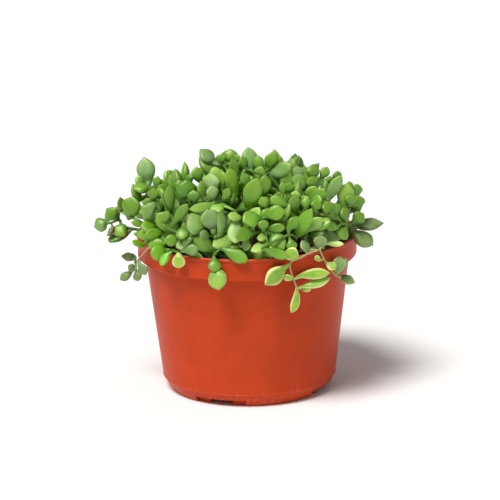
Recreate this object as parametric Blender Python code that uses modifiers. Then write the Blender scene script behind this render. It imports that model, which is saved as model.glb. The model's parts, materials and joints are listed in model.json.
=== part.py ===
"""A potted cotyledon: leafy succulent stems rooted in the soil of a plastic nursery pot."""

import itertools
import math
import random

import bmesh
import bpy
from mathutils import Euler, Matrix, Vector, noise
from mathutils.bvhtree import BVHTree
from mathutils.geometry import intersect_point_line

MM = 0.001
GAP = 0.3 * MM

# Where the pot's axis stands, so that the origin is under the middle of the whole plant.
POT_PLACE = Vector((5.5 * MM, 4.3 * MM, 0))

# Pot: the turned shell, its foot ring and the drain notches in it.
RIM_RADIUS = 76.0 * MM
RIM_TOP = 109.0 * MM
LIP_HEIGHT = 2.6 * MM
LIP_PROUD = 0.6 * MM
BAND_BOTTOM = 93.7 * MM
WALL_TOP_RADIUS = 70.4 * MM
WALL_FOOT_RADIUS = 59.9 * MM
FOOT_LINE = 8.7 * MM
FOOT_RADIUS = 54.3 * MM
WALL = 1.4 * MM
FOOT_RING_WIDTH = 3.4 * MM
FLOOR_UNDERSIDE = 6.4 * MM
POT_STEPS = 48
NOTCH_COUNT = 4
NOTCH_FIRST = math.radians(-22)
NOTCH_ARC = math.radians(38)
NOTCH_GATE_ARC = math.radians(18)
NOTCH_HEIGHT = 4.4 * MM
NOTCH_DEPTH = 1.8 * MM
NOTCH_CUT_STEPS = 4
NOTCH_BEYOND = 5 * MM
GATE_INSIDE = 4 * MM
DRAIN_ARC = math.radians(10)
DRAIN_INNER = 42.5 * MM
DRAIN_OUTER = 49.0 * MM
EDGE = 0.6 * MM
FLOOR_CORNER = 3.2 * MM
FOOT_STEP_IN = 1.4 * MM
FOOT_STEP_DOWN = 2.2 * MM
FOOT_BEVEL = 1.8 * MM

# Soil: it fills the pot to a little under the rim, and is mounded by the stems.
SOIL_EDGE_TOP = 97.0 * MM
SOIL_MOUND = 3.5 * MM
SOIL_STEPS = 32
SOIL_RINGS = 4
SOIL_LUMP = 1.2 * MM
SOIL_LUMP_SIZE = 11 * MM
HOLE_SIDES = 5
HOLE_TOP = 4 * MM

# The front view that the seen leaves are laid out in: an eye ahead of the pot and above it.
EYE = Vector((0, -2.0769, 0.6553))
EYE_PITCH = 0.2634
EYE_YAW = 0.0009
EYE_ROLL = -0.0181
VIEW_SCALE = 3119.7
VIEW_MIDDLE = (250, 250)

# Crown: how far the foliage reaches from the pot's axis at each height. Above the rim it is
# squeezed from front to back by this share.
CROWN_OUTLINE = (
    (0.070, 0.0805), (0.106, 0.0815), (0.118, 0.085), (0.135, 0.079), (0.147, 0.070),
    (0.156, 0.056), (0.163, 0.036), (0.167, 0.0),
)
CROWN_SQUEEZE = 0.14
SQUEEZE_FROM = 106 * MM
SQUEEZE_TO = 120 * MM
CROWN_HEART = Vector((0, 0, 90 * MM))
SIGHT_NEAREST = 2.03
SIGHT_STEP = 0.5 * MM
SIGHT_STEPS = 440

# Leaves: a blade has a ring at each of these shares of its length, is widest at one share,
# has a thickness and a backward bow in shares of its width and length, and a common length.
LEAF_STATIONS = (0.42, 0.78)
LEAF_SIDES = 4
LEAF_WIDEST = 0.60
LEAF_THICKNESS = 0.36
LEAF_BOW = 0.07
LEAF_LENGTH = 24 * MM
LEAF_ASPECT = 0.57

# Leaves of the front view: their blades are a little wider than read, and face between the
# eye, out of the crown's heart and up, with a drawn roll and a drawn lean in degrees.
SEEN_WIDTH = 1.16
MOST_WIDENING = 1.25
FACE_OUT = 0.8
FACE_UP = 0.25
FACE_ROLL = 24
LEAN_DRAW = (-8, 16)

# A leaf in the way of another is slid along its line of sight, hangs from another point of
# its stem or is narrowed. A leaf of a rule stem is turned, spread and shortened.
SLIDES = (0, 1, 2, -1, 3, -2, 4, 5, -3, 6, 7, -4, 8, 10, 12, 14, 17, 20, 24)
STALK_SHIFTS = (0, 4 * MM, 8 * MM, 14 * MM)
MOST_FOLDED = 0.30
NARROWINGS = (1.0, 0.85, 0.7)
TURNS = (0, 18, -18, 36, -36)
SPREADS = (0, -12, 12, 24)
MOST_SPREAD = 115
LEAF_KEEP_OUT = 1.3 * GAP

# Stems: each has a straight foot in the soil, one bend and then its leafy end.
STEM_RADIUS = 1.2 * MM
TRAILING_RADIUS = 0.8 * MM
STEM_SIDES = 5
STEM_BEVEL = 0
ROOT_SINK = 0.4 * MM
STEM_KEEP_OUT = 1.5 * GAP
STEM_MARK = "stem of "
ROOT_DEPTH = 8.0 * MM
ROOT_CLEAR = 3.0 * MM
ROOT_SPACING = 6.5 * MM
ROOT_FURTHEST = 62 * MM
ROOT_SPREAD = 0.62
ROOT_SPREADS = (0, -0.12, -0.24, 0.12, 0.24, -0.36)
ROOT_SWINGS = (0, 7, -7, 14, -14, 22, -22, 32, -32)
BENDS = (0.5, 0.3, 0.7)
BEND_RISE = 0.12
OVER_RIM_RADIUS = 75.5 * MM
OVER_RIM_RISE = 3.2 * MM
RIM_NEAR = 6 * MM

# Rule stems: their tips follow a spiral from the crown's top to its rim, lean outward more
# the lower they are, and fill the places where no other tip is near. Those at the back
# hang lower. The pairs of leaves sit at these distances from the tip, spread this far from
# the stem and this long, each pair turned a quarter from the last.
PAIRS = (
    (1.0 * MM, 22, 0.62), (5.0 * MM, 44, 0.9), (12.0 * MM, 62, 1.0), (21.0 * MM, 80, 0.97),
)
LENGTH_DRAW = (0.85, 1.1)
FEWEST_LEAVES = 5
RULE_STEMS = 25
RULE_STRAIGHT = 20 * MM
SPIRAL_STEPS = 170
SPIRAL_STRIDE = 37
SPIRAL_LOW = 106 * MM
SPIRAL_HIGH = 165 * MM
SPIRAL_LEAN = math.radians(100)
LEAN_CURVE = 0.6
TIP_INSIDE = 15 * MM
TIP_SPACING = 15 * MM
BACK_DROP = 0.2
SEED = 7

# A stem of the front view with few leaves bears one more pair this far below them.
FEW_LEAVES = 4
OLD_PAIR = 10 * MM
OLD_SPREAD = 75
OLD_LENGTH = 0.95

# What leaves and stems keep out of: the pot's rim band and the top of the lumpy soil.
POT_KEEP_OUT = (
    (0.0688, 0.060), (0.0709, 0.0930), (0.0764, 0.0932), (0.0764, 0.1094), (0.0736, 0.1094),
    (0.0736, 0.0950),
)
SOIL_KEEP_OUT = ((0.0736, 0.0980), (0.0500, 0.1002), (0.0200, 0.1020), (0.0001, 0.1020))

# Colours and roughness of the plain materials.
POT_COLOUR = (0.60, 0.075, 0.030)
POT_ROUGHNESS = 0.42
SOIL_COLOUR = (0.030, 0.018, 0.010)
SOIL_ROUGHNESS = 0.95
LEAF_COLOUR = (0.16, 0.38, 0.065)
LEAF_ROUGHNESS = 0.38
YOUNG_COLOUR = (0.30, 0.55, 0.12)
YOUNG_ROUGHNESS = 0.40
SMOOTH_ANGLE = math.radians(35)
WELD = 0.01 * MM

# A row is a leaf: x and y of its base and of its tip in the front view, its width there,
# how far its tip leans to the eye and how far its blade is turned edge on, in degrees,
# and the sideways bow of its middle in view points.
SEEN_STEMS = {
    "over_rim": (
        (214, 257, 215, 272, 12, 20, 0, 0), (214, 262, 219, 290, 17, 5, 0, 0),
        (221, 248, 248, 261, 12, 12, 0, 0),
    ),
    "front_rosette": (
        (214, 236, 213, 229, 5, 30, 0, 0), (214, 234, 209, 258, 17, 25, 0, 0),
        (212, 237, 200, 234, 9, 30, 0, 0), (215, 232, 207, 210, 18, 12, 0, 0),
        (217, 240, 219, 212, 9, 5, 35, 5),
    ),
    "centre_rosette": (
        (264, 233, 263, 220, 10, 15, 0, 0), (262, 232, 261, 241, 8, 40, 0, 0),
        (258, 233, 236, 238, 13, 20, 0, 2), (269, 230, 284, 249, 15, 10, 0, 0),
        (269, 238, 251, 251, 9, 15, 30, -2), (265, 230, 285, 227, 9, -5, 0, 0),
    ),
    "centre_pair": (
        (264, 219, 243, 222, 15, 25, 0, 2), (262, 219, 285, 212, 14, 15, 0, -2),
        (262, 222, 270, 208, 10, -10, 0, 0),
    ),
    "long_leaf": (
        (289, 243, 312, 208, 13, 18, 0, 1), (303, 234, 323, 218, 11, 8, 0, 0),
        (290, 238, 293, 251, 10, 10, 0, 0), (262, 248, 290, 257, 9, 0, 0, 0),
        (287, 232, 298, 216, 10, 0, 0, 0),
    ),
    "pale_hanging": (
        (236, 217, 235, 243, 14, 20, 0, 0), (244, 218, 228, 216, 8, 15, 0, 0),
        (248, 236, 245, 251, 9, 10, 0, 0), (226, 203, 211, 213, 10, 15, 0, 0),
    ),
    "big_round": (
        (210, 228, 187, 220, 19, 10, 0, 0), (192, 232, 187, 248, 12, 10, 0, 0),
        (181, 252, 198, 249, 10, 10, 0, 0),
    ),
    "left_rim": (
        (170, 251, 151, 254, 14, 12, 0, 0), (173, 251, 162, 266, 8, 10, 20, 3),
        (178, 252, 179, 268, 12, 5, 0, 0),
    ),
    "low_left": (
        (181, 226, 183, 239, 12, 30, 0, 0), (182, 243, 165, 239, 11, 20, 0, 0),
        (170, 228, 188, 204, 10, 15, 20, 0), (161, 227, 168, 211, 8, 10, 20, 0),
    ),
    "left_low": (
        (133, 229, 109, 242, 10, 5, 20, 4), (167, 230, 145, 236, 10, 20, 0, 0),
        (158, 228, 141, 226, 12, 12, 0, 0), (147, 247, 132, 241, 6, 10, 0, 0),
        (146, 226, 131, 222, 6, 0, 0, 0), (170, 241, 148, 246, 11, 0, 0, 0),
        (155, 236, 137, 234, 10, 0, 0, 0),
    ),
    "left_edge": (
        (125, 223, 116, 236, 13, 20, 0, 0), (120, 221, 106, 209, 14, 10, 0, 0),
        (119, 219, 114, 210, 6, 25, 0, 0), (109, 221, 94, 227, 13, 0, 0, 0),
        (113, 225, 107, 236, 7, 0, 30, 0), (121, 230, 116, 239, 7, 0, 30, 0),
    ),
    "left_cup": (
        (163, 218, 142, 207, 18, 20, 0, 0), (129, 222, 133, 196, 17, 10, 25, 0),
        (124, 216, 120, 197, 7, 5, 40, 0), (150, 207, 146, 198, 8, 5, 0, 0),
    ),
    "right_low": (
        (351, 225, 384, 223, 11, 0, 0, 0), (350, 228, 373, 245, 14, 5, 0, 0),
        (346, 225, 341, 239, 12, 15, 0, 0), (347, 223, 344, 207, 10, 15, 0, 0),
        (342, 220, 327, 214, 7, 20, 0, 0), (340, 228, 325, 225, 10, 12, 0, 0),
        (351, 224, 364, 214, 10, 0, 0, 0), (322, 232, 341, 238, 7, -5, 0, 0),
    ),
    "right_edge": (
        (343, 212, 347, 183, 13, 12, 0, 0), (337, 217, 335, 203, 9, 20, 0, 0),
        (357, 212, 357, 195, 14, 0, 0, 0), (350, 191, 349, 181, 7, 0, 0, 0),
        (356, 198, 358, 184, 11, -8, 0, 0), (349, 208, 352, 194, 10, 0, 0, 0),
    ),
    "tall_centre": (
        (247, 213, 258, 178, 17, 10, 0, -1), (264, 200, 265, 175, 12, 5, 0, 0),
        (268, 210, 261, 197, 10, 20, 0, 0), (290, 206, 270, 198, 10, 12, 0, 0),
        (283, 197, 283, 182, 7, 5, 0, 0), (249, 189, 243, 173, 10, 0, 0, 0),
        (277, 208, 277, 193, 10, 0, 0, 0),
    ),
    "right_centre": (
        (295, 215, 294, 195, 11, 20, 0, 0), (295, 203, 296, 190, 10, 0, 0, 0),
        (305, 212, 306, 197, 10, 0, 0, 0), (287, 196, 290, 182, 9, 0, 0, 0),
    ),
    "right_upper": (
        (308, 204, 322, 199, 11, 20, 0, 0), (302, 199, 325, 189, 12, 12, 0, 3),
        (325, 205, 342, 175, 11, 10, 0, 0), (337, 183, 338, 171, 8, 0, 0, 0),
        (331, 185, 330, 176, 6, 0, 0, 0), (332, 217, 326, 201, 12, -5, 0, 0),
        (315, 213, 317, 200, 10, 0, 0, 0), (316, 200, 318, 188, 9, 0, 0, 0),
    ),
    "pale_cluster": (
        (213, 202, 212, 186, 11, 30, 0, 0), (219, 201, 189, 209, 9, 12, 0, -2),
        (211, 195, 211, 173, 15, 20, 0, 0), (204, 202, 201, 181, 8, 10, 20, 0),
        (206, 177, 220, 169, 9, 0, 0, 0),
    ),
    "upright_left": (
        (237, 201, 229, 168, 12, 12, 0, 0), (222, 203, 229, 188, 8, 20, 0, 0),
        (222, 190, 221, 170, 10, 5, 0, 0),
    ),
    "mid_left_tall": (
        (172, 217, 169, 185, 10, 8, 20, 0), (165, 207, 165, 190, 7, -5, 20, 0),
    ),
    "mid_left_broad": (
        (187, 204, 186, 180, 19, 10, 0, 0), (176, 191, 176, 182, 7, 0, 0, 0),
        (190, 184, 189, 174, 8, 0, 0, 0), (195, 205, 193, 190, 12, 5, 0, 0),
    ),
    "left_tall": (
        (152, 188, 134, 189, 10, 15, 20, 2), (149, 190, 144, 157, 17, -5, 0, 0),
        (153, 203, 153, 188, 10, 20, 0, 0), (155, 189, 158, 176, 8, 5, 0, 0),
        (143, 203, 133, 184, 9, 5, 45, 0), (147, 185, 135, 178, 9, -5, 0, 0),
        (158, 200, 160, 187, 9, 0, 0, 0),
    ),
    "right_top": (
        (315, 189, 310, 177, 11, 20, 0, 0), (314, 181, 313, 164, 12, 5, 0, 0),
        (320, 180, 328, 167, 9, -5, 0, 0),
    ),
    "top_right": (
        (266, 179, 291, 164, 13, 8, 0, 0), (308, 191, 294, 175, 12, 5, 0, 0),
        (299, 182, 297, 166, 11, 0, 0, 0),
    ),
    "top_centre": (
        (252, 176, 248, 147, 15, -5, 0, 0), (259, 173, 258, 155, 10, 0, 0, 0),
        (268, 173, 273, 152, 12, 0, 0, 0), (246, 171, 242, 156, 8, -5, 0, 0),
        (277, 172, 281, 156, 8, -5, 0, 0), (256, 183, 262, 166, 11, 0, 0, 0),
    ),
    "top_left": (
        (238, 180, 232, 158, 9, 10, 0, 0), (229, 166, 231, 149, 14, -5, 0, 0),
        (218, 166, 200, 149, 12, -5, 0, 0), (220, 165, 222, 154, 8, -5, 0, 0),
        (236, 164, 238, 154, 7, -5, 0, 0),
    ),
    "dome_left": (
        (200, 183, 196, 167, 12, 5, 0, 0),
    ),
}

# Trailing stems hang over the rim, and their own line shows: its points in the front view
# come first, and their leaves after it.
TRAILING_STEMS = {
    "front_trail": (
        ((318, 250), (309, 253), (300, 258), (290, 263), (292, 275), (297, 288)),
        (
            (299, 259, 286, 250, 13, 5, 0, 0), (289, 264, 265, 285, 15, 5, 0, 0),
            (295, 279, 283, 277, 6, 5, 0, 0), (294, 277, 330, 273, 10, 3, 0, -1),
            (296, 286, 291, 313, 8, 3, 0, -3), (297, 287, 330, 278, 9, 5, 0, 1),
            (298, 288, 311, 290, 5, 8, 0, 0),
        ),
    ),
    "right_trail": (
        ((322, 246), (320, 250), (326, 263), (335, 275)),
        (
            (319, 250, 321, 235, 12, 5, 0, 0), (310, 254, 302, 240, 10, 5, 0, 0),
            (322, 243, 344, 244, 5, 5, 0, 0), (321, 262, 315, 256, 5, 5, 0, 0),
            (325, 262, 336, 269, 8, 5, 0, 0), (338, 273, 340, 256, 12, 5, 0, 0),
            (341, 272, 347, 258, 6, 0, 0, 0), (338, 275, 355, 283, 9, 5, 0, 0),
        ),
    ),
    "left_trail": (
        ((152, 246), (142, 255), (137, 262), (136, 269)),
        (
            (138, 258, 121, 256, 8, 5, 0, 0), (136, 269, 128, 266, 7, 5, 0, 0),
            (134, 270, 120, 280, 8, 5, 0, 0), (136, 270, 138, 281, 8, 5, 0, 0),
            (138, 262, 146, 275, 9, 0, 0, 0),
        ),
    ),
}


def leaf_width(t):
    """Half-width of a leaf at t of its length, as a share of its widest."""
    if t < LEAF_WIDEST:
        return math.sin(math.pi / 2 * t / LEAF_WIDEST) ** 1.1
    return math.cos(math.pi / 2 * (t - LEAF_WIDEST) / (1 - LEAF_WIDEST)) ** 0.75


def leaf_thickness(t):
    """Half-thickness of a leaf at t of its length, as a share of its thickest."""
    return math.sin(math.pi * (0.12 + 0.88 * t)) ** 0.6


def tube_faces(count, sides):
    """Faces between rings of points that follow each other."""
    faces = []
    for low in range(0, (count - 1) * sides, sides):
        for i in range(sides):
            j = (i + 1) % sides
            faces.append((low + i, low + j, low + sides + j, low + sides + i))
    return faces


def loft(rings, start=None, end=None):
    """Points and faces of a closed shape through rings, each end shut by a point or a face."""
    sides = len(rings[0])
    last = (len(rings) - 1) * sides
    points = [point for ring in rings for point in ring]
    faces = tube_faces(len(rings), sides)
    if start is None:
        faces.append(tuple(reversed(range(sides))))
    else:
        faces += [((i + 1) % sides, i, len(points)) for i in range(sides)]
        points.append(start)
    if end is None:
        faces.append(tuple(range(last, last + sides)))
    else:
        faces += [(last + i, last + (i + 1) % sides, len(points)) for i in range(sides)]
        points.append(end)
    return points, faces


def turned(profile, steps):
    """Points and faces of an open skin turned round the pot's axis."""
    turns = [2 * math.pi * i / steps for i in range(steps)]
    rings = [[Vector((r * math.cos(a), r * math.sin(a), z)) for a in turns] for r, z in profile]
    return [point for ring in rings for point in ring], tube_faces(len(rings), steps)


class Leaf:
    """One fleshy leaf: the point of the stem it grows from, its blade's base and its tip."""

    def __init__(self, base, tip, width, face, sweep=0.0, stalk=None):
        self.base = base
        self.tip = tip
        self.width = width
        self.sweep = sweep
        self.stalk = stalk or base
        along = (tip - base).normalized()
        self.face = (face - along * face.dot(along)).normalized()

    def moved(self, step):
        return Leaf(self.base + step, self.tip + step, self.width, self.face, self.sweep)

    def grown_from(self, stalk):
        return Leaf(self.base, self.tip, self.width, self.face, self.sweep, stalk)

    def folded(self):
        """How far along the blade its point of the stem lies, as a share of its length."""
        along = self.tip - self.base
        return (self.stalk - self.base).dot(along) / along.length_squared

    def ring(self, middle, side, half_width, half_depth):
        turns = [2 * math.pi * i / LEAF_SIDES for i in range(LEAF_SIDES)]
        across = side * half_width
        deep = self.face * half_depth
        return [middle + across * math.cos(a) + deep * math.sin(a) for a in turns]

    def blade_rings(self, extra):
        length = (self.tip - self.base).length
        along = (self.tip - self.base) / length
        side = along.cross(self.face)
        rings = []
        for t in LEAF_STATIONS:
            arch = 4 * t * (1 - t)
            middle = self.base + along * (length * t) - self.face * (LEAF_BOW * length * arch)
            half_width = self.width / 2 * leaf_width(t)
            half_depth = self.width / 2 * LEAF_THICKNESS * leaf_thickness(t)
            middle = middle + side * (self.sweep * arch)
            rings.append(self.ring(middle, side, half_width + extra, half_depth + extra))
        return rings

    def shape(self, extra=0.0):
        """The leaf's solid, or with extra a little more than it."""
        rings = self.blade_rings(extra)
        out = (sum(rings[0], Vector()) / LEAF_SIDES - self.stalk).normalized()
        root = self.stalk - out * ROOT_SINK
        return loft(rings, root, self.tip + out * extra)

    def blade(self, extra=0.0):
        """The leaf's shape without its root, for telling whether it meets its own stem."""
        out = (self.tip - self.base).normalized()
        return loft(self.blade_rings(extra), None, self.tip + out * extra)


class Crowd:
    """What has grown so far, so that each new leaf or stem can be kept clear of it."""

    def __init__(self):
        self.shapes = {}

    def add(self, owner, shape):
        points, faces = shape
        middle = sum(points, Vector()) / len(points)
        reach = max((point - middle).length for point in points)
        tree = BVHTree.FromPolygons(points, faces)
        self.shapes.setdefault(owner, []).append((middle, reach, tree))

    def drop(self, owner):
        self.shapes.pop(owner, None)

    def hits(self, shape, owners):
        """How many shapes of the owners this one meets."""
        points = shape[0]
        middle = sum(points, Vector()) / len(points)
        reach = max((point - middle).length for point in points)
        tree = BVHTree.FromPolygons(*shape)
        count = 0
        for owner in owners:
            for other, size, other_tree in self.shapes.get(owner, ()):
                if (middle - other).length < reach + size and tree.overlap(other_tree):
                    count += 1
        return count

    def clear(self, leaf, owner):
        """Whether a leaf is clear of all others, and its blade of its own stem and leaves."""
        own = (owner, STEM_MARK + owner)
        others = [name for name in self.shapes if name not in own]
        if self.hits(leaf.shape(LEAF_KEEP_OUT), others):
            return False
        return not self.hits(leaf.blade(GAP), own)


def sight(x, y):
    """Direction from the eye through a point of the front view."""
    turn = Euler((math.pi / 2 - EYE_PITCH, 0, -EYE_YAW)).to_matrix()
    turn = turn @ Matrix.Rotation(EYE_ROLL, 3, "Z")
    ray = Vector((x - VIEW_MIDDLE[0], VIEW_MIDDLE[1] - y, -VIEW_SCALE))
    return (turn @ ray).normalized()


def crown_radius(height):
    """The crown's radius at a height."""
    if height <= CROWN_OUTLINE[0][0]:
        return CROWN_OUTLINE[0][1]
    for (low, wide), (high, narrow) in zip(CROWN_OUTLINE, CROWN_OUTLINE[1:]):
        if height < high:
            return wide + (narrow - wide) * (height - low) / (high - low)
    return 0.0


def squeeze(point):
    """How much shorter the crown is from front to back than from side to side."""
    share = (point.z - SQUEEZE_FROM) / (SQUEEZE_TO - SQUEEZE_FROM)
    return 1 + CROWN_SQUEEZE * min(max(share, 0.0), 1.0)


def on_crown(x, y):
    """Where the line of sight first meets the crown, or the point of it nearest to the crown."""
    ray = sight(x, y)
    best = None
    for step in range(SIGHT_STEPS):
        point = EYE + ray * (SIGHT_NEAREST + SIGHT_STEP * step)
        outside = math.hypot(point.x, point.y * squeeze(point)) - crown_radius(point.z)
        if best is None or outside < best[0]:
            best = (outside, point)
        if outside <= 0:
            return point
    return best[1]


def seen_leaf(row, draw):
    """The leaf of a row, where the line of sight to its middle meets the crown."""
    x, y, tip_x, tip_y, width, lean, turn, sweep = row
    middle = on_crown((x + tip_x) / 2, (y + tip_y) / 2)
    distance = (middle - EYE).length
    point_size = distance / VIEW_SCALE
    slope = math.tan(math.radians(lean + draw.uniform(*LEAN_DRAW)))
    deep = math.hypot(tip_x - x, tip_y - y) * point_size * slope
    base = EYE + sight(x, y) * (distance + deep / 2)
    tip = EYE + sight(tip_x, tip_y) * (distance - deep / 2)
    along = (tip - base).normalized()
    to_eye = (EYE - middle).normalized()
    face = to_eye + (middle - CROWN_HEART).normalized() * FACE_OUT + Vector((0, 0, FACE_UP))
    roll = math.radians(turn + draw.uniform(-FACE_ROLL, FACE_ROLL))
    face = Matrix.Rotation(roll, 3, along) @ face
    leaf = Leaf(base, tip, width * SEEN_WIDTH * point_size, face, sweep * point_size)
    across = abs(along.cross(to_eye).normalized().dot(along.cross(leaf.face)))
    shown = math.hypot(across, LEAF_THICKNESS * math.sqrt(max(1 - across * across, 0.0)))
    leaf.width *= min(1 / shown, MOST_WIDENING)
    return leaf


def seen_leaves(name, rows, crowd, draw):
    """The leaves of one stem, each slid along its line of sight until it is clear."""
    leaves = []
    for row in rows:
        leaf = seen_leaf(row, draw)
        ray = (leaf.base - EYE).normalized()
        for slide in SLIDES:
            slid = leaf.moved(ray * slide * MM)
            if crowd.clear(slid, name):
                leaves.append(slid)
                crowd.add(name, slid.shape())
                break
    return leaves


def stem_shape(points, radius):
    """A tube along a stem, for telling what it meets."""
    turns = [2 * math.pi * i / STEM_SIDES for i in range(STEM_SIDES)]
    side = Vector((0, 1, 0))
    rings = []
    for k, point in enumerate(points):
        ahead = (points[min(k + 1, len(points) - 1)] - points[max(k - 1, 0)]).normalized()
        side = (side - ahead * side.dot(ahead)).normalized()
        other = ahead.cross(side)
        rings.append([
            point + (side * math.cos(turn) + other * math.sin(turn)) * radius for turn in turns
        ])
    return loft(rings)


def root_points(azimuth, radius):
    """The straight foot of a stem, from its end in the soil to just above the soil."""
    at = Vector((radius * math.cos(azimuth), radius * math.sin(azimuth), soil_top(radius)))
    return [at - Vector((0, 0, ROOT_DEPTH)), at + Vector((0, 0, ROOT_CLEAR))]


def bends(foot, first):
    """Places for a stem's bend between its foot and the first of its leaves."""
    for share in BENDS:
        bend = foot.lerp(first, share)
        bend.z += BEND_RISE * (first - foot).length * (1 - share)
        yield bend
    reach = math.hypot(first.x, first.y)
    if reach > OVER_RIM_RADIUS:
        over = Vector((first.x, first.y, 0)) * (OVER_RIM_RADIUS / reach)
        yield over + Vector((0, 0, RIM_TOP + OVER_RIM_RISE))


def routes(through, roots):
    """Ways for a stem from the soil to the first of its leaves, the straightest first."""
    first = through[0]
    reach = math.hypot(first.x, first.y)
    heading = math.atan2(first.y, first.x)
    for spread in ROOT_SPREADS:
        for swing in ROOT_SWINGS:
            radius = min(reach * (ROOT_SPREAD + spread), ROOT_FURTHEST)
            foot = root_points(heading + math.radians(swing), radius)
            if any((foot[0] - other).length < ROOT_SPACING for other in roots):
                continue
            for bend in bends(foot[1], first):
                yield foot + [bend] + through


def grow_stem(name, through, radius, crowd, roots, most_hits):
    """The stem's points, along the way that meets no stem, pot or soil, and fewest leaves."""
    best = None
    solid = [owner for owner in crowd.shapes if owner.startswith((STEM_MARK, "pot", "soil"))]
    leafy = [owner for owner in crowd.shapes if owner not in solid and owner != name]
    for points in routes(through, roots):
        shape = stem_shape(points[1:], radius + STEM_KEEP_OUT)
        if crowd.hits(shape, solid):
            continue
        hits = crowd.hits(shape, leafy)
        if best is None or hits < best[0]:
            best = (hits, points)
        if not hits:
            break
    if best is None or best[0] > most_hits:
        return None
    crowd.add(STEM_MARK + name, stem_shape(best[1], radius))
    roots.append(best[1][0])
    return best[1]


def nearest_on(points, place):
    """The point of a stem's line nearest to a place."""
    best = None
    for low, high in zip(points, points[1:]):
        point, share = intersect_point_line(place, low, high)
        point = low.lerp(high, min(max(share, 0.0), 1.0))
        if best is None or (point - place).length < (best - place).length:
            best = point
    return best


def raised(point):
    """A point of a stem, lifted clear of the rim if it is over it."""
    over_rim = abs(math.hypot(point.x, point.y) - RIM_RADIUS) < RIM_NEAR
    if over_rim and point.z < RIM_TOP + OVER_RIM_RISE:
        return Vector((point.x, point.y, RIM_TOP + OVER_RIM_RISE))
    return point


def paired(bases, root):
    """Where a stem passes through the bases of its leaves, two at a time."""
    bases = sorted(bases, key=lambda base: (base - root).length)
    pairs = [bases[k : k + 2] for k in range(0, len(bases), 2)]
    return [raised(sum(pair, Vector()) / len(pair)) for pair in pairs]


def attached(name, leaf, points, crowd):
    """A leaf on its stem's line, slid or narrowed until it is clear there."""
    ray = (leaf.base - EYE).normalized()
    for narrower in NARROWINGS:
        for slide in SLIDES:
            moved = leaf.moved(ray * slide * MM)
            moved.width *= narrower
            for shift in STALK_SHIFTS:
                aim = moved.base + (moved.base - moved.tip).normalized() * shift
                grown = moved.grown_from(nearest_on(points, aim))
                if grown.folded() <= MOST_FOLDED and crowd.clear(grown, name):
                    crowd.add(name, grown.shape())
                    return grown
    return None


def side_leaf(name, spot, heading, bearing, spread, length, crowd):
    """A leaf that grows from a spot on a stem, bent or shortened until it is clear."""
    square = heading.orthogonal().normalized()
    for size, wider, turn in itertools.product(NARROWINGS, SPREADS, TURNS):
        out = Matrix.Rotation(bearing + math.radians(turn), 3, heading) @ square
        angle = math.radians(min(spread + wider, MOST_SPREAD))
        along = heading * math.cos(angle) + out * math.sin(angle)
        base = spot + along * STEM_RADIUS
        leaf = Leaf(
            base, base + along * length * size, length * size * LEAF_ASPECT, heading, 0, spot
        )
        if crowd.clear(leaf, name):
            crowd.add(name, leaf.shape())
            return leaf
    return None


def point_back(points, distance):
    """The point this far back along a stem from its tip, and the stem's heading there."""
    for high, low in zip(points[::-1], points[-2::-1]):
        step = (high - low).length
        if distance <= step:
            return high.lerp(low, distance / step), (high - low).normalized()
        distance -= step
    return points[0], (points[1] - points[0]).normalized()


def side_pairs(name, points, pairs, length, turn, crowd):
    leaves = []
    for k, (distance, spread, size) in enumerate(pairs):
        spot, heading = point_back(points, distance)
        if spot.z < points[1].z:
            break
        for half in (0, math.pi):
            bearing = turn + k * math.pi / 2 + half
            leaf = side_leaf(name, spot, heading, bearing, spread, length * size, crowd)
            if leaf:
                leaves.append(leaf)
    return leaves


def seen_line(name, leaves):
    """The points that a stem of the front view passes through above its bend."""
    if name in TRAILING_STEMS:
        return [on_crown(x, y) for x, y in TRAILING_STEMS[name][0]]
    middle = sum((leaf.base for leaf in leaves), Vector()) / len(leaves)
    root = Vector((middle.x * ROOT_SPREAD, middle.y * ROOT_SPREAD, SOIL_EDGE_TOP))
    return paired([leaf.base for leaf in leaves], root)


def seen_shoots(crowd, roots):
    """The stems of the front view: each one's radius, points and leaves."""
    draw = random.Random(SEED)
    rows = {name: leaves for name, (line, leaves) in TRAILING_STEMS.items()}
    rows.update(SEEN_STEMS)
    loose = {name: seen_leaves(name, rows[name], crowd, draw) for name in rows}
    stems = {}
    for name, leaves in loose.items():
        through = seen_line(name, leaves)
        radius = TRAILING_RADIUS if name in TRAILING_STEMS else STEM_RADIUS
        stems[name] = (radius, grow_stem(name, through, radius, crowd, roots, math.inf))
    for name in loose:
        crowd.drop(name)
    shoots = {}
    for name, (radius, points) in stems.items():
        leaves = [attached(name, leaf, points, crowd) for leaf in loose[name]]
        shoots[name] = (radius, points, [leaf for leaf in leaves if leaf])
    for name, (radius, points, leaves) in shoots.items():
        turn = draw.uniform(0, math.pi)
        if name in TRAILING_STEMS or len(leaves) > FEW_LEAVES:
            continue
        lowest = (points[-1] - points[3]).length
        pairs = [(lowest + OLD_PAIR, OLD_SPREAD, OLD_LENGTH)]
        leaves += side_pairs(name, points, pairs, LEAF_LENGTH, turn, crowd)
    return shoots


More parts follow.
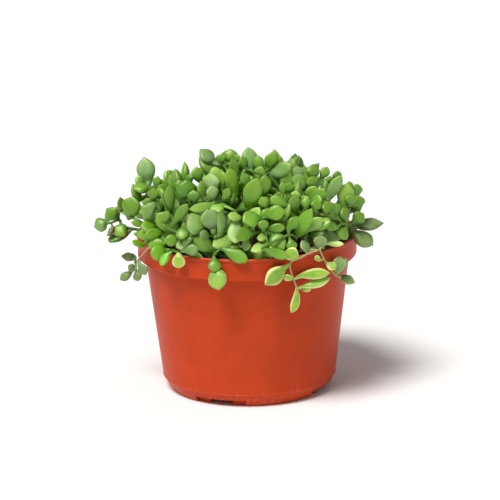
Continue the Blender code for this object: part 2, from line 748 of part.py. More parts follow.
def rule_shoots(crowd, roots, tips):
    """The stems at the back and inside, whose tips fill the crown where no other is near."""
    shoots = {}
    draw = random.Random(SEED + 1)
    for k in range(SPIRAL_STEPS):
        if len(shoots) == RULE_STEMS:
            break
        share = (k * SPIRAL_STRIDE % SPIRAL_STEPS + 0.5) / SPIRAL_STEPS
        angle = k * SPIRAL_STRIDE % SPIRAL_STEPS * math.pi * (3 - math.sqrt(5))
        height = SPIRAL_HIGH + (SPIRAL_LOW - SPIRAL_HIGH) * share
        out = Vector((math.cos(angle), math.sin(angle), 0))
        lean = SPIRAL_LEAN * share**LEAN_CURVE
        heading = out * math.sin(lean) + Vector((0, 0, math.cos(lean)))
        tip = out * crown_radius(height) + Vector((0, 0, height))
        tip.y /= squeeze(tip)
        tip.z -= BACK_DROP * max(tip.y, 0)
        tip -= heading * TIP_INSIDE
        turn = draw.uniform(0, math.pi)
        length = LEAF_LENGTH * draw.uniform(*LENGTH_DRAW)
        if min((tip - other).length for other in tips) < TIP_SPACING:
            continue
        name = f"stem_{len(shoots) + 1:02d}"
        through = [tip - heading * RULE_STRAIGHT, tip]
        points = grow_stem(name, through, STEM_RADIUS, crowd, roots, 0)
        if points is None:
            continue
        leaves = side_pairs(name, points, PAIRS, length, turn, crowd)
        if len(leaves) < FEWEST_LEAVES:
            crowd.drop(name)
            crowd.drop(STEM_MARK + name)
            roots.pop()
            continue
        shoots[name] = (STEM_RADIUS, points, leaves)
        tips.append(tip)
    return shoots


def grow():
    """Every leafy stem: its name, and its radius, points and leaves."""
    crowd = Crowd()
    crowd.add("pot", turned(POT_KEEP_OUT, POT_STEPS))
    crowd.add("soil", turned(SOIL_KEEP_OUT, SOIL_STEPS))
    roots = []
    shoots = seen_shoots(crowd, roots)
    tips = [points[-1] for radius, points, leaves in shoots.values()]
    shoots.update(rule_shoots(crowd, roots, tips))
    return shoots


def soil_top(radius):
    """The soil's height at a distance from the pot's axis, without its lumps."""
    return SOIL_EDGE_TOP + SOIL_MOUND * math.cos(math.pi / 2 * min(radius / RIM_RADIUS, 1.0))


def new_collection(name):
    collection = bpy.data.collections.new(name)
    bpy.context.scene.collection.children.link(collection)
    return collection


def new_material(name, colour, roughness):
    material = bpy.data.materials.new(name)
    material.use_nodes = True
    shader = material.node_tree.nodes["Principled BSDF"]
    shader.inputs["Base Color"].default_value = (*colour, 1)
    shader.inputs["Roughness"].default_value = roughness
    shader.inputs["Metallic"].default_value = 0
    return material


def new_object(name, mesh, collection):
    piece = bpy.data.objects.new(name, mesh)
    collection.objects.link(piece)
    return piece


def mesh_of(name, shape):
    mesh = bpy.data.meshes.new(name)
    points, faces = shape
    mesh.from_pydata(points, [], faces)
    return mesh


def screwed(name, profile, steps, collection):
    """A solid turned from a profile of (radius, height), from the axis back to the axis."""
    edges = [(k, k + 1) for k in range(len(profile) - 1)]
    mesh = bpy.data.meshes.new(name)
    mesh.from_pydata([(r, 0, z) for r, z in profile], edges, [])
    piece = new_object(name, mesh, collection)
    screw = piece.modifiers.new("turn", "SCREW")
    screw.steps = steps
    screw.render_steps = steps
    screw.use_merge_vertices = True
    screw.merge_threshold = WELD
    screw.use_smooth_shade = True
    return piece


def apply_modifiers(piece):
    graph = bpy.context.evaluated_depsgraph_get()
    mesh = bpy.data.meshes.new_from_object(piece.evaluated_get(graph))
    old = piece.data
    piece.modifiers.clear()
    piece.data = mesh
    bpy.data.meshes.remove(old)


def boolean(piece, collection, operation, solver="EXACT"):
    """Joins or cuts a piece with all of a collection, and then removes the collection."""
    modifier = piece.modifiers.new(operation.lower(), "BOOLEAN")
    modifier.operand_type = "COLLECTION"
    modifier.collection = collection
    modifier.operation = operation
    modifier.solver = solver
    apply_modifiers(piece)
    for other in list(collection.objects):
        bpy.data.objects.remove(other)
    bpy.data.collections.remove(collection)


def arc_block(name, inner, outer, bottom, top, middle, arc, collection):
    """A block between two radii and two heights, over an arc round the pot's axis."""
    rings = []
    for k in range(NOTCH_CUT_STEPS + 1):
        turn = middle + arc * (k / NOTCH_CUT_STEPS - 0.5)
        near = Vector((math.sin(turn), -math.cos(turn), 0)) * inner
        far = near * (outer / inner)
        low, high = Vector((0, 0, bottom)), Vector((0, 0, top))
        rings.append([near + low, near + high, far + high, far + low])
    return new_object(name, mesh_of(name, loft(rings)), collection)


def cut_drains(pot):
    """Cuts the notches of the foot ring, and a drain opening behind each."""
    cutters = new_collection("cutters")
    recess = FOOT_RADIUS - NOTCH_DEPTH
    inside = FOOT_RADIUS - FOOT_RING_WIDTH - GATE_INSIDE
    beyond = WALL_FOOT_RADIUS + NOTCH_BEYOND
    floor = (FLOOR_UNDERSIDE - MM, FLOOR_UNDERSIDE + WALL + MM)
    for k in range(NOTCH_COUNT):
        turn = NOTCH_FIRST + 2 * math.pi * k / NOTCH_COUNT
        arc_block("notch", recess, beyond, -MM, NOTCH_HEIGHT, turn, NOTCH_ARC, cutters)
        arc_block("gate", inside, beyond, -MM, NOTCH_HEIGHT, turn, NOTCH_GATE_ARC, cutters)
        arc_block("drain", DRAIN_INNER, DRAIN_OUTER, *floor, turn, DRAIN_ARC, cutters)
    for cutter in cutters.objects:
        cutter.hide_render = True
        cutter.display_type = "WIRE"
    boolean(pot, cutters, "DIFFERENCE")


def build_pot(parts):
    band_radius = RIM_RADIUS - LIP_PROUD
    band_inside = band_radius - WALL
    ledge_radius = WALL_TOP_RADIUS + EDGE
    profile = (
        (0, FLOOR_UNDERSIDE + WALL),
        (WALL_FOOT_RADIUS - FLOOR_CORNER, FLOOR_UNDERSIDE + WALL),
        (WALL_FOOT_RADIUS - WALL, FOOT_LINE + EDGE),
        (WALL_TOP_RADIUS - WALL, BAND_BOTTOM),
        (ledge_radius - WALL, BAND_BOTTOM + WALL),
        (band_inside, BAND_BOTTOM + WALL),
        (band_inside, RIM_TOP - EDGE),
        (band_inside + EDGE, RIM_TOP),
        (RIM_RADIUS - EDGE, RIM_TOP),
        (RIM_RADIUS, RIM_TOP - EDGE),
        (RIM_RADIUS, RIM_TOP - LIP_HEIGHT + EDGE),
        (band_radius, RIM_TOP - LIP_HEIGHT),
        (band_radius, BAND_BOTTOM + EDGE),
        (band_radius - EDGE, BAND_BOTTOM),
        (ledge_radius, BAND_BOTTOM),
        (WALL_TOP_RADIUS, BAND_BOTTOM - EDGE),
        (WALL_FOOT_RADIUS, FOOT_LINE),
        (WALL_FOOT_RADIUS - FOOT_STEP_IN, FOOT_LINE - FOOT_STEP_DOWN),
        (FOOT_RADIUS + FOOT_BEVEL, FOOT_BEVEL),
        (FOOT_RADIUS, 0),
        (FOOT_RADIUS - FOOT_RING_WIDTH, 0),
        (FOOT_RADIUS - FOOT_RING_WIDTH - EDGE, FLOOR_UNDERSIDE),
        (0, FLOOR_UNDERSIDE),
    )
    pot = screwed("pot", profile, POT_STEPS, parts)
    apply_modifiers(pot)
    cut_drains(pot)
    pot.data.materials.append(new_material("pot_plastic", POT_COLOUR, POT_ROUGHNESS))


def cut_holes(soil, shoots):
    """Cuts a plain hole in the soil for the foot of each stem."""
    holes = new_collection("holes")
    for radius, points, leaves in shoots.values():
        foot = points[0]
        bottom, top = foot.z - GAP, points[1].z + HOLE_TOP
        bpy.ops.mesh.primitive_cylinder_add(
            vertices=HOLE_SIDES,
            radius=(radius + STEM_KEEP_OUT) / math.cos(math.pi / HOLE_SIDES),
            depth=top - bottom,
            location=(foot.x, foot.y, (bottom + top) / 2),
        )
        hole = bpy.context.object
        for old in hole.users_collection:
            old.objects.unlink(hole)
        holes.objects.link(hole)
    boolean(soil, holes, "DIFFERENCE")


def build_soil(parts, shoots):
    band_inside = RIM_RADIUS - LIP_PROUD - WALL - GAP
    ledge_inside = WALL_TOP_RADIUS + EDGE - WALL - GAP
    floor = FLOOR_UNDERSIDE + WALL + GAP
    reaches = [band_inside * (k / SOIL_RINGS) for k in range(SOIL_RINGS + 1)]
    profile = [(reach, soil_top(reach)) for reach in reaches]
    profile += [
        (band_inside, BAND_BOTTOM + WALL + GAP),
        (ledge_inside, BAND_BOTTOM + WALL + GAP),
        (WALL_TOP_RADIUS - WALL - GAP, BAND_BOTTOM),
        (WALL_FOOT_RADIUS - WALL - GAP, FOOT_LINE + 2 * EDGE),
        (WALL_FOOT_RADIUS - FLOOR_CORNER - EDGE, floor),
        (0, floor),
    ]
    soil = screwed("soil", profile, SOIL_STEPS, parts)
    apply_modifiers(soil)
    for vertex in soil.data.vertices:
        reach = math.hypot(vertex.co.x, vertex.co.y)
        if vertex.co.z > SOIL_EDGE_TOP - MM and reach < band_inside - MM:
            vertex.co.z += SOIL_LUMP * noise.noise(vertex.co / SOIL_LUMP_SIZE)
    cut_holes(soil, shoots)
    soil.data.materials.append(new_material("soil", SOIL_COLOUR, SOIL_ROUGHNESS))


def stem_mesh(name, points, radius):
    """The stem as a tube along its points, with its ends shut."""
    curve = bpy.data.curves.new(name, "CURVE")
    curve.dimensions = "3D"
    curve.bevel_depth = radius
    curve.bevel_resolution = STEM_BEVEL
    curve.use_fill_caps = True
    spline = curve.splines.new("POLY")
    spline.points.add(len(points) - 1)
    for spot, point in zip(spline.points, points):
        spot.co = (*point, 1)
    guide = bpy.data.objects.new(name, curve)
    bpy.context.scene.collection.objects.link(guide)
    graph = bpy.context.evaluated_depsgraph_get()
    mesh = bpy.data.meshes.new_from_object(guide.evaluated_get(graph))
    bpy.data.objects.remove(guide)
    bpy.data.curves.remove(curve)
    welded(mesh)
    return mesh


def welded(mesh):
    """Merges the points that lie on each other, and turns every face outward."""
    model = bmesh.new()
    model.from_mesh(mesh)
    bmesh.ops.remove_doubles(model, verts=model.verts, dist=WELD)
    bmesh.ops.recalc_face_normals(model, faces=model.faces)
    model.to_mesh(mesh)
    model.free()


def keep_largest(mesh):
    """Drops loose scraps and the skins of hollows that joining has sealed."""
    model = bmesh.new()
    model.from_mesh(mesh)
    left = set(model.faces)
    islands = []
    while left:
        island = set()
        edge = [left.pop()]
        while edge:
            face = edge.pop()
            island.add(face)
            for side in face.edges:
                for other in side.link_faces:
                    if other in left:
                        left.discard(other)
                        edge.append(other)
        islands.append(island)
    islands.sort(key=len)
    for island in islands[:-1]:
        bmesh.ops.delete(model, geom=list(island), context="FACES")
    model.to_mesh(mesh)
    model.free()


def is_closed(mesh):
    model = bmesh.new()
    model.from_mesh(mesh)
    closed = all(len(edge.link_faces) == 2 for edge in model.edges)
    model.free()
    return closed


def join_leaves(stem, points, radius, leaves):
    """Fuses the leaves to their stem, by the second solver where the first leaves a tear."""
    for solver in ("EXACT", "MANIFOLD"):
        stem.data = stem_mesh(stem.name, points, radius)
        blades = new_collection("blades")
        for leaf in leaves:
            blade = new_object("leaf", mesh_of("leaf", leaf.shape()), blades)
            welded(blade.data)
        boolean(stem, blades, "UNION", solver)
        keep_largest(stem.data)
        if is_closed(stem.data):
            break


def build_shoot(name, radius, points, leaves, parts, material):
    stem = new_object(name, bpy.data.meshes.new(name), parts)
    join_leaves(stem, points, radius, leaves)
    stem.data.materials.clear()
    stem.data.materials.append(material)
    stem.data.shade_smooth()
    stem.data.set_sharp_from_angle(angle=SMOOTH_ANGLE)


def main():
    for thing in list(bpy.data.objects):
        bpy.data.objects.remove(thing)
    parts = new_collection("potted_cotyledon")
    shoots = grow()
    build_pot(parts)
    build_soil(parts, shoots)
    leaf_green = new_material("leaf_green", LEAF_COLOUR, LEAF_ROUGHNESS)
    young_green = new_material("young_green", YOUNG_COLOUR, YOUNG_ROUGHNESS)
    for name, (radius, points, leaves) in shoots.items():
        material = young_green if name in TRAILING_STEMS else leaf_green
        build_shoot(name, radius, points, leaves, parts, material)
    for piece in parts.objects:
        piece.location = POT_PLACE


if __name__ == "__main__":
    main()
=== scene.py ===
"""A potted cotyledon, dressed: fleshy leaves on crowded stems, dark soil and a plastic pot."""

import itertools
import json
import math
import random

import bmesh
import bpy
from bpy.props import FloatProperty, FloatVectorProperty, IntProperty, PointerProperty
from mathutils import Euler, Matrix, Vector, noise
from mathutils.bvhtree import BVHTree
from mathutils.geometry import intersect_point_line

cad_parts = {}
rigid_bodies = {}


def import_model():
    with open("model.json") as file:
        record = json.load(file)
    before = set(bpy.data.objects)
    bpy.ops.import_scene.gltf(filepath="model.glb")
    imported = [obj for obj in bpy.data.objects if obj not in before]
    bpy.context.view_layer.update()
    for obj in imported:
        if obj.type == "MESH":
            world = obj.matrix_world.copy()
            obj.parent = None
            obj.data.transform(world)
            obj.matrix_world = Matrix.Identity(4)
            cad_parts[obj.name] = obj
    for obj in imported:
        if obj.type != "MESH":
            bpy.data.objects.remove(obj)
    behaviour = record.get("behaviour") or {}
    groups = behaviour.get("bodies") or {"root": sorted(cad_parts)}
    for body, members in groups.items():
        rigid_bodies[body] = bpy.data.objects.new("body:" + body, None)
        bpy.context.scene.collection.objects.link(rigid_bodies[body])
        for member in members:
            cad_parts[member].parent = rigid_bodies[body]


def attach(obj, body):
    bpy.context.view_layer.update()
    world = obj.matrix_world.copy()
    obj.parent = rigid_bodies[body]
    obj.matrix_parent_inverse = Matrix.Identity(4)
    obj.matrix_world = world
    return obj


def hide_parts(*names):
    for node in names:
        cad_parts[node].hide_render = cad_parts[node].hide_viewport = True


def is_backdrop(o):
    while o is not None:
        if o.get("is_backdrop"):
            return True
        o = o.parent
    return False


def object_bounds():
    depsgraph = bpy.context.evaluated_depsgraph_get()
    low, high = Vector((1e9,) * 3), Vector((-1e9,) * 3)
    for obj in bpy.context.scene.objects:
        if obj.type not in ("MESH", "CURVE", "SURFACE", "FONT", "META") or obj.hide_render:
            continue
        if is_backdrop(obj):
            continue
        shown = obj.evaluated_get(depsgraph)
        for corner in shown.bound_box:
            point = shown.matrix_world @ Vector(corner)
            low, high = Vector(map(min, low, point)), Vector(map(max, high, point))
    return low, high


bl_info = {
    "name": "Potted cotyledon",
    "version": (1, 0, 0),
    "blender": (4, 5, 0),
    "location": "View3D > Sidebar > Cotyledon",
    "description": "Makes a leafy succulent in a nursery pot, piece by piece",
    "category": "Add Mesh",
}

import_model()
CAD_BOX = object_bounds()

MM = 0.001
GAP = 0.3 * MM

# Where the pot's axis stands, so that the origin is under the middle of the whole plant.
POT_PLACE = Vector((5.5 * MM, 4.3 * MM, 0))

# Pot: the turned shell, its foot ring and the drain notches in it.
RIM_RADIUS = 76.0 * MM
RIM_TOP = 109.0 * MM
LIP_HEIGHT = 2.6 * MM
LIP_PROUD = 0.6 * MM
BAND_BOTTOM = 93.7 * MM
WALL_TOP_RADIUS = 70.4 * MM
WALL_FOOT_RADIUS = 59.9 * MM
FOOT_LINE = 8.7 * MM
FOOT_RADIUS = 54.3 * MM
WALL = 1.4 * MM
FOOT_RING_WIDTH = 3.4 * MM
FLOOR_UNDERSIDE = 6.4 * MM
POT_STEPS = 48
NOTCH_COUNT = 4
NOTCH_FIRST = math.radians(-22)
NOTCH_ARC = math.radians(38)
NOTCH_GATE_ARC = math.radians(18)
NOTCH_HEIGHT = 4.4 * MM
NOTCH_DEPTH = 1.8 * MM
NOTCH_CUT_STEPS = 4
NOTCH_BEYOND = 5 * MM
GATE_INSIDE = 4 * MM
DRAIN_ARC = math.radians(10)
DRAIN_INNER = 42.5 * MM
DRAIN_OUTER = 49.0 * MM
EDGE = 0.6 * MM
FLOOR_CORNER = 3.2 * MM
FOOT_STEP_IN = 1.4 * MM
FOOT_STEP_DOWN = 2.2 * MM
FOOT_BEVEL = 1.8 * MM

# Soil: it fills the pot to a little under the rim, and is mounded by the stems.
SOIL_EDGE_TOP = 97.0 * MM
SOIL_MOUND = 3.5 * MM
SOIL_STEPS = 32
SOIL_RINGS = 4
SOIL_LUMP = 1.2 * MM
SOIL_LUMP_SIZE = 11 * MM
HOLE_SIDES = 5
HOLE_TOP = 4 * MM

# The front view that the seen leaves are laid out in: an eye ahead of the pot and above it.
EYE = Vector((0, -2.0769, 0.6553))
EYE_PITCH = 0.2634
EYE_YAW = 0.0009
EYE_ROLL = -0.0181
VIEW_SCALE = 3119.7
VIEW_MIDDLE = (250, 250)

# Crown: how far the foliage reaches from the pot's axis at each height. Above the rim it is
# squeezed from front to back by this share.
CROWN_OUTLINE = (
    (0.070, 0.0805), (0.106, 0.0815), (0.118, 0.085), (0.135, 0.079), (0.147, 0.070),
    (0.156, 0.056), (0.163, 0.036), (0.167, 0.0),
)
CROWN_SQUEEZE = 0.14
SQUEEZE_FROM = 106 * MM
SQUEEZE_TO = 120 * MM
CROWN_HEART = Vector((0, 0, 90 * MM))
SIGHT_NEAREST = 2.03
SIGHT_STEP = 0.5 * MM
SIGHT_STEPS = 440

# Leaves: a blade has a ring at each of these shares of its length, is widest at one share,
# has a thickness and a backward bow in shares of its width and length, and a common length.
LEAF_STATIONS = (0.42, 0.78)
LEAF_SIDES = 4
LEAF_WIDEST = 0.60
LEAF_THICKNESS = 0.36
LEAF_BOW = 0.07
LEAF_LENGTH = 24 * MM
LEAF_ASPECT = 0.57

# Leaves of the front view: their blades are a little wider than read, and face between the
# eye, out of the crown's heart and up, with a drawn roll and a drawn lean in degrees.
SEEN_WIDTH = 1.16
MOST_WIDENING = 1.25
FACE_OUT = 0.8
FACE_UP = 0.25
FACE_ROLL = 24
LEAN_DRAW = (-8, 16)

# A leaf in the way of another is slid along its line of sight, hangs from another point of
# its stem or is narrowed. A leaf of a rule stem is turned, spread and shortened.
SLIDES = (0, 1, 2, -1, 3, -2, 4, 5, -3, 6, 7, -4, 8, 10, 12, 14, 17, 20, 24)
STALK_SHIFTS = (0, 4 * MM, 8 * MM, 14 * MM)
MOST_FOLDED = 0.30
NARROWINGS = (1.0, 0.85, 0.7)
TURNS = (0, 18, -18, 36, -36)
SPREADS = (0, -12, 12, 24)
MOST_SPREAD = 115
LEAF_KEEP_OUT = 1.3 * GAP

# Stems: each has a straight foot in the soil, one bend and then its leafy end.
STEM_RADIUS = 1.2 * MM
TRAILING_RADIUS = 0.8 * MM
STEM_SIDES = 5
STEM_BEVEL = 0
ROOT_SINK = 0.4 * MM
STEM_KEEP_OUT = 1.5 * GAP
STEM_MARK = "stem of "
ROOT_DEPTH = 8.0 * MM
ROOT_CLEAR = 3.0 * MM
ROOT_SPACING = 6.5 * MM
ROOT_FURTHEST = 62 * MM
ROOT_SPREAD = 0.62
ROOT_SPREADS = (0, -0.12, -0.24, 0.12, 0.24, -0.36)
ROOT_SWINGS = (0, 7, -7, 14, -14, 22, -22, 32, -32)
BENDS = (0.5, 0.3, 0.7)
BEND_RISE = 0.12
OVER_RIM_RADIUS = 75.5 * MM
OVER_RIM_RISE = 3.2 * MM
RIM_NEAR = 6 * MM

# Rule stems: their tips follow a spiral from the crown's top to its rim, lean outward more
# the lower they are, and fill the places where no other tip is near. Those at the back
# hang lower. The pairs of leaves sit at these distances from the tip, spread this far from
# the stem and this long, each pair turned a quarter from the last.
PAIRS = (
    (1.0 * MM, 22, 0.62), (5.0 * MM, 44, 0.9), (12.0 * MM, 62, 1.0), (21.0 * MM, 80, 0.97),
)
LENGTH_DRAW = (0.85, 1.1)
FEWEST_LEAVES = 5
RULE_STEMS = 25
RULE_STRAIGHT = 20 * MM
SPIRAL_STEPS = 170
SPIRAL_STRIDE = 37
SPIRAL_LOW = 106 * MM
SPIRAL_HIGH = 165 * MM
SPIRAL_LEAN = math.radians(100)
LEAN_CURVE = 0.6
TIP_INSIDE = 15 * MM
TIP_SPACING = 15 * MM
BACK_DROP = 0.2
SEED = 7

# A stem of the front view with few leaves bears one more pair this far below them.
FEW_LEAVES = 4
OLD_PAIR = 10 * MM
OLD_SPREAD = 75
OLD_LENGTH = 0.95

# What leaves and stems keep out of: the pot's rim band and the top of the lumpy soil.
POT_KEEP_OUT = (
    (0.0688, 0.060), (0.0709, 0.0930), (0.0764, 0.0932), (0.0764, 0.1094), (0.0736, 0.1094),
    (0.0736, 0.0950),
)
SOIL_KEEP_OUT = ((0.0736, 0.0980), (0.0500, 0.1002), (0.0200, 0.1020), (0.0001, 0.1020))

# A row is a leaf: x and y of its base and of its tip in the front view, its width there,
# how far its tip leans to the eye and how far its blade is turned edge on, in degrees,
# and the sideways bow of its middle in view points.
SEEN_STEMS = {
    "over_rim": (
        (214, 257, 215, 272, 12, 20, 0, 0), (214, 262, 219, 290, 17, 5, 0, 0),
        (221, 248, 248, 261, 12, 12, 0, 0),
    ),
    "front_rosette": (
        (214, 236, 213, 229, 5, 30, 0, 0), (214, 234, 209, 258, 17, 25, 0, 0),
        (212, 237, 200, 234, 9, 30, 0, 0), (215, 232, 207, 210, 18, 12, 0, 0),
        (217, 240, 219, 212, 9, 5, 35, 5),
    ),
    "centre_rosette": (
        (264, 233, 263, 220, 10, 15, 0, 0), (262, 232, 261, 241, 8, 40, 0, 0),
        (258, 233, 236, 238, 13, 20, 0, 2), (269, 230, 284, 249, 15, 10, 0, 0),
        (269, 238, 251, 251, 9, 15, 30, -2), (265, 230, 285, 227, 9, -5, 0, 0),
    ),
    "centre_pair": (
        (264, 219, 243, 222, 15, 25, 0, 2), (262, 219, 285, 212, 14, 15, 0, -2),
        (262, 222, 270, 208, 10, -10, 0, 0),
    ),
    "long_leaf": (
        (289, 243, 312, 208, 13, 18, 0, 1), (303, 234, 323, 218, 11, 8, 0, 0),
        (290, 238, 293, 251, 10, 10, 0, 0), (262, 248, 290, 257, 9, 0, 0, 0),
        (287, 232, 298, 216, 10, 0, 0, 0),
    ),
    "pale_hanging": (
        (236, 217, 235, 243, 14, 20, 0, 0), (244, 218, 228, 216, 8, 15, 0, 0),
        (248, 236, 245, 251, 9, 10, 0, 0), (226, 203, 211, 213, 10, 15, 0, 0),
    ),
    "big_round": (
        (210, 228, 187, 220, 19, 10, 0, 0), (192, 232, 187, 248, 12, 10, 0, 0),
        (181, 252, 198, 249, 10, 10, 0, 0),
    ),
    "left_rim": (
        (170, 251, 151, 254, 14, 12, 0, 0), (173, 251, 162, 266, 8, 10, 20, 3),
        (178, 252, 179, 268, 12, 5, 0, 0),
    ),
    "low_left": (
        (181, 226, 183, 239, 12, 30, 0, 0), (182, 243, 165, 239, 11, 20, 0, 0),
        (170, 228, 188, 204, 10, 15, 20, 0), (161, 227, 168, 211, 8, 10, 20, 0),
    ),
    "left_low": (
        (133, 229, 109, 242, 10, 5, 20, 4), (167, 230, 145, 236, 10, 20, 0, 0),
        (158, 228, 141, 226, 12, 12, 0, 0), (147, 247, 132, 241, 6, 10, 0, 0),
        (146, 226, 131, 222, 6, 0, 0, 0), (170, 241, 148, 246, 11, 0, 0, 0),
        (155, 236, 137, 234, 10, 0, 0, 0),
    ),
    "left_edge": (
        (125, 223, 116, 236, 13, 20, 0, 0), (120, 221, 106, 209, 14, 10, 0, 0),
        (119, 219, 114, 210, 6, 25, 0, 0), (109, 221, 94, 227, 13, 0, 0, 0),
        (113, 225, 107, 236, 7, 0, 30, 0), (121, 230, 116, 239, 7, 0, 30, 0),
    ),
    "left_cup": (
        (163, 218, 142, 207, 18, 20, 0, 0), (129, 222, 133, 196, 17, 10, 25, 0),
        (124, 216, 120, 197, 7, 5, 40, 0), (150, 207, 146, 198, 8, 5, 0, 0),
    ),
    "right_low": (
        (351, 225, 384, 223, 11, 0, 0, 0), (350, 228, 373, 245, 14, 5, 0, 0),
        (346, 225, 341, 239, 12, 15, 0, 0), (347, 223, 344, 207, 10, 15, 0, 0),
        (342, 220, 327, 214, 7, 20, 0, 0), (340, 228, 325, 225, 10, 12, 0, 0),
        (351, 224, 364, 214, 10, 0, 0, 0), (322, 232, 341, 238, 7, -5, 0, 0),
    ),
    "right_edge": (
        (343, 212, 347, 183, 13, 12, 0, 0), (337, 217, 335, 203, 9, 20, 0, 0),
        (357, 212, 357, 195, 14, 0, 0, 0), (350, 191, 349, 181, 7, 0, 0, 0),
        (356, 198, 358, 184, 11, -8, 0, 0), (349, 208, 352, 194, 10, 0, 0, 0),
    ),
    "tall_centre": (
        (247, 213, 258, 178, 17, 10, 0, -1), (264, 200, 265, 175, 12, 5, 0, 0),
        (268, 210, 261, 197, 10, 20, 0, 0), (290, 206, 270, 198, 10, 12, 0, 0),
        (283, 197, 283, 182, 7, 5, 0, 0), (249, 189, 243, 173, 10, 0, 0, 0),
        (277, 208, 277, 193, 10, 0, 0, 0),
    ),
    "right_centre": (
        (295, 215, 294, 195, 11, 20, 0, 0), (295, 203, 296, 190, 10, 0, 0, 0),
        (305, 212, 306, 197, 10, 0, 0, 0), (287, 196, 290, 182, 9, 0, 0, 0),
    ),
    "right_upper": (
        (308, 204, 322, 199, 11, 20, 0, 0), (302, 199, 325, 189, 12, 12, 0, 3),
        (325, 205, 342, 175, 11, 10, 0, 0), (337, 183, 338, 171, 8, 0, 0, 0),
        (331, 185, 330, 176, 6, 0, 0, 0), (332, 217, 326, 201, 12, -5, 0, 0),
        (315, 213, 317, 200, 10, 0, 0, 0), (316, 200, 318, 188, 9, 0, 0, 0),
    ),
    "pale_cluster": (
        (213, 202, 212, 186, 11, 30, 0, 0), (219, 201, 189, 209, 9, 12, 0, -2),
        (211, 195, 211, 173, 15, 20, 0, 0), (204, 202, 201, 181, 8, 10, 20, 0),
        (206, 177, 220, 169, 9, 0, 0, 0),
    ),
    "upright_left": (
        (237, 201, 229, 168, 12, 12, 0, 0), (222, 203, 229, 188, 8, 20, 0, 0),
        (222, 190, 221, 170, 10, 5, 0, 0),
    ),
    "mid_left_tall": (
        (172, 217, 169, 185, 10, 8, 20, 0), (165, 207, 165, 190, 7, -5, 20, 0),
    ),
    "mid_left_broad": (
        (187, 204, 186, 180, 19, 10, 0, 0), (176, 191, 176, 182, 7, 0, 0, 0),
        (190, 184, 189, 174, 8, 0, 0, 0), (195, 205, 193, 190, 12, 5, 0, 0),
    ),
    "left_tall": (
        (152, 188, 134, 189, 10, 15, 20, 2), (149, 190, 144, 157, 17, -5, 0, 0),
        (153, 203, 153, 188, 10, 20, 0, 0), (155, 189, 158, 176, 8, 5, 0, 0),
        (143, 203, 133, 184, 9, 5, 45, 0), (147, 185, 135, 178, 9, -5, 0, 0),
        (158, 200, 160, 187, 9, 0, 0, 0),
    ),
    "right_top": (
        (315, 189, 310, 177, 11, 20, 0, 0), (314, 181, 313, 164, 12, 5, 0, 0),
        (320, 180, 328, 167, 9, -5, 0, 0),
    ),
    "top_right": (
        (266, 179, 291, 164, 13, 8, 0, 0), (308, 191, 294, 175, 12, 5, 0, 0),
        (299, 182, 297, 166, 11, 0, 0, 0),
    ),
    "top_centre": (
        (252, 176, 248, 147, 15, -5, 0, 0), (259, 173, 258, 155, 10, 0, 0, 0),
        (268, 173, 273, 152, 12, 0, 0, 0), (246, 171, 242, 156, 8, -5, 0, 0),
        (277, 172, 281, 156, 8, -5, 0, 0), (256, 183, 262, 166, 11, 0, 0, 0),
    ),
    "top_left": (
        (238, 180, 232, 158, 9, 10, 0, 0), (229, 166, 231, 149, 14, -5, 0, 0),
        (218, 166, 200, 149, 12, -5, 0, 0), (220, 165, 222, 154, 8, -5, 0, 0),
        (236, 164, 238, 154, 7, -5, 0, 0),
    ),
    "dome_left": (
        (200, 183, 196, 167, 12, 5, 0, 0),
    ),
}

# Trailing stems hang over the rim, and their own line shows: its points in the front view
# come first, and their leaves after it.
TRAILING_STEMS = {
    "front_trail": (
        ((318, 250), (309, 253), (300, 258), (290, 263), (292, 275), (297, 288)),
        (
            (299, 259, 286, 250, 13, 5, 0, 0), (289, 264, 265, 285, 15, 5, 0, 0),
            (295, 279, 283, 277, 6, 5, 0, 0), (294, 277, 330, 273, 10, 3, 0, -1),
            (296, 286, 291, 313, 8, 3, 0, -3), (297, 287, 330, 278, 9, 5, 0, 1),
            (298, 288, 311, 290, 5, 8, 0, 0),
        ),
    ),
    "right_trail": (
        ((322, 246), (320, 250), (326, 263), (335, 275)),
        (
            (319, 250, 321, 235, 12, 5, 0, 0), (310, 254, 302, 240, 10, 5, 0, 0),
            (322, 243, 344, 244, 5, 5, 0, 0), (321, 262, 315, 256, 5, 5, 0, 0),
            (325, 262, 336, 269, 8, 5, 0, 0), (338, 273, 340, 256, 12, 5, 0, 0),
            (341, 272, 347, 258, 6, 0, 0, 0), (338, 275, 355, 283, 9, 5, 0, 0),
        ),
    ),
    "left_trail": (
        ((152, 246), (142, 255), (137, 262), (136, 269)),
        (
            (138, 258, 121, 256, 8, 5, 0, 0), (136, 269, 128, 266, 7, 5, 0, 0),
            (134, 270, 120, 280, 8, 5, 0, 0), (136, 270, 138, 281, 8, 5, 0, 0),
            (138, 262, 146, 275, 9, 0, 0, 0),
        ),
    ),
}


# Fine leaves: stations along the blade and points round it, closest at the petiole and tip.
BLADE_STATIONS = (
    -0.02, 0.06, 0.13, 0.21, 0.30, 0.40, 0.50, 0.59, 0.67, 0.745, 0.81, 0.865, 0.91, 0.945,
    0.972, 0.992,
)
BLADE_SIDES = 16
PETIOLE_SHARE = 0.15
BLADE_FULLNESS = (1.15, 2.0)
BLADE_WIDEST = (0.58, 0.68)
TIP_SHOULDER = (1.7, 2.6)
TIP_ACUTENESS = (0.82, 1.12)
ROUND_TIPS = (0.58, 0.74)
ROUND_STEMS = ("big_round", "front_rosette", "centre_rosette", "left_rim", "pale_hanging")
BLADE_SLIMNESS = 0.97
BLADE_FLESH = 0.62
FACE_SHARE = 0.82
BACK_SHARE = 1.18
BLADE_CUP = (-0.05, 0.12)
BLADE_FOLD = (0.0, 0.24)
MARGIN_SOFTNESS = 1.0
LINE_KNOTS = (0.2, 0.42, 0.6, 0.78, 0.9, 1.0)
LINE_STEPS = 6
CURVE_PULL = 0.4
TIP_POINT = 0.045

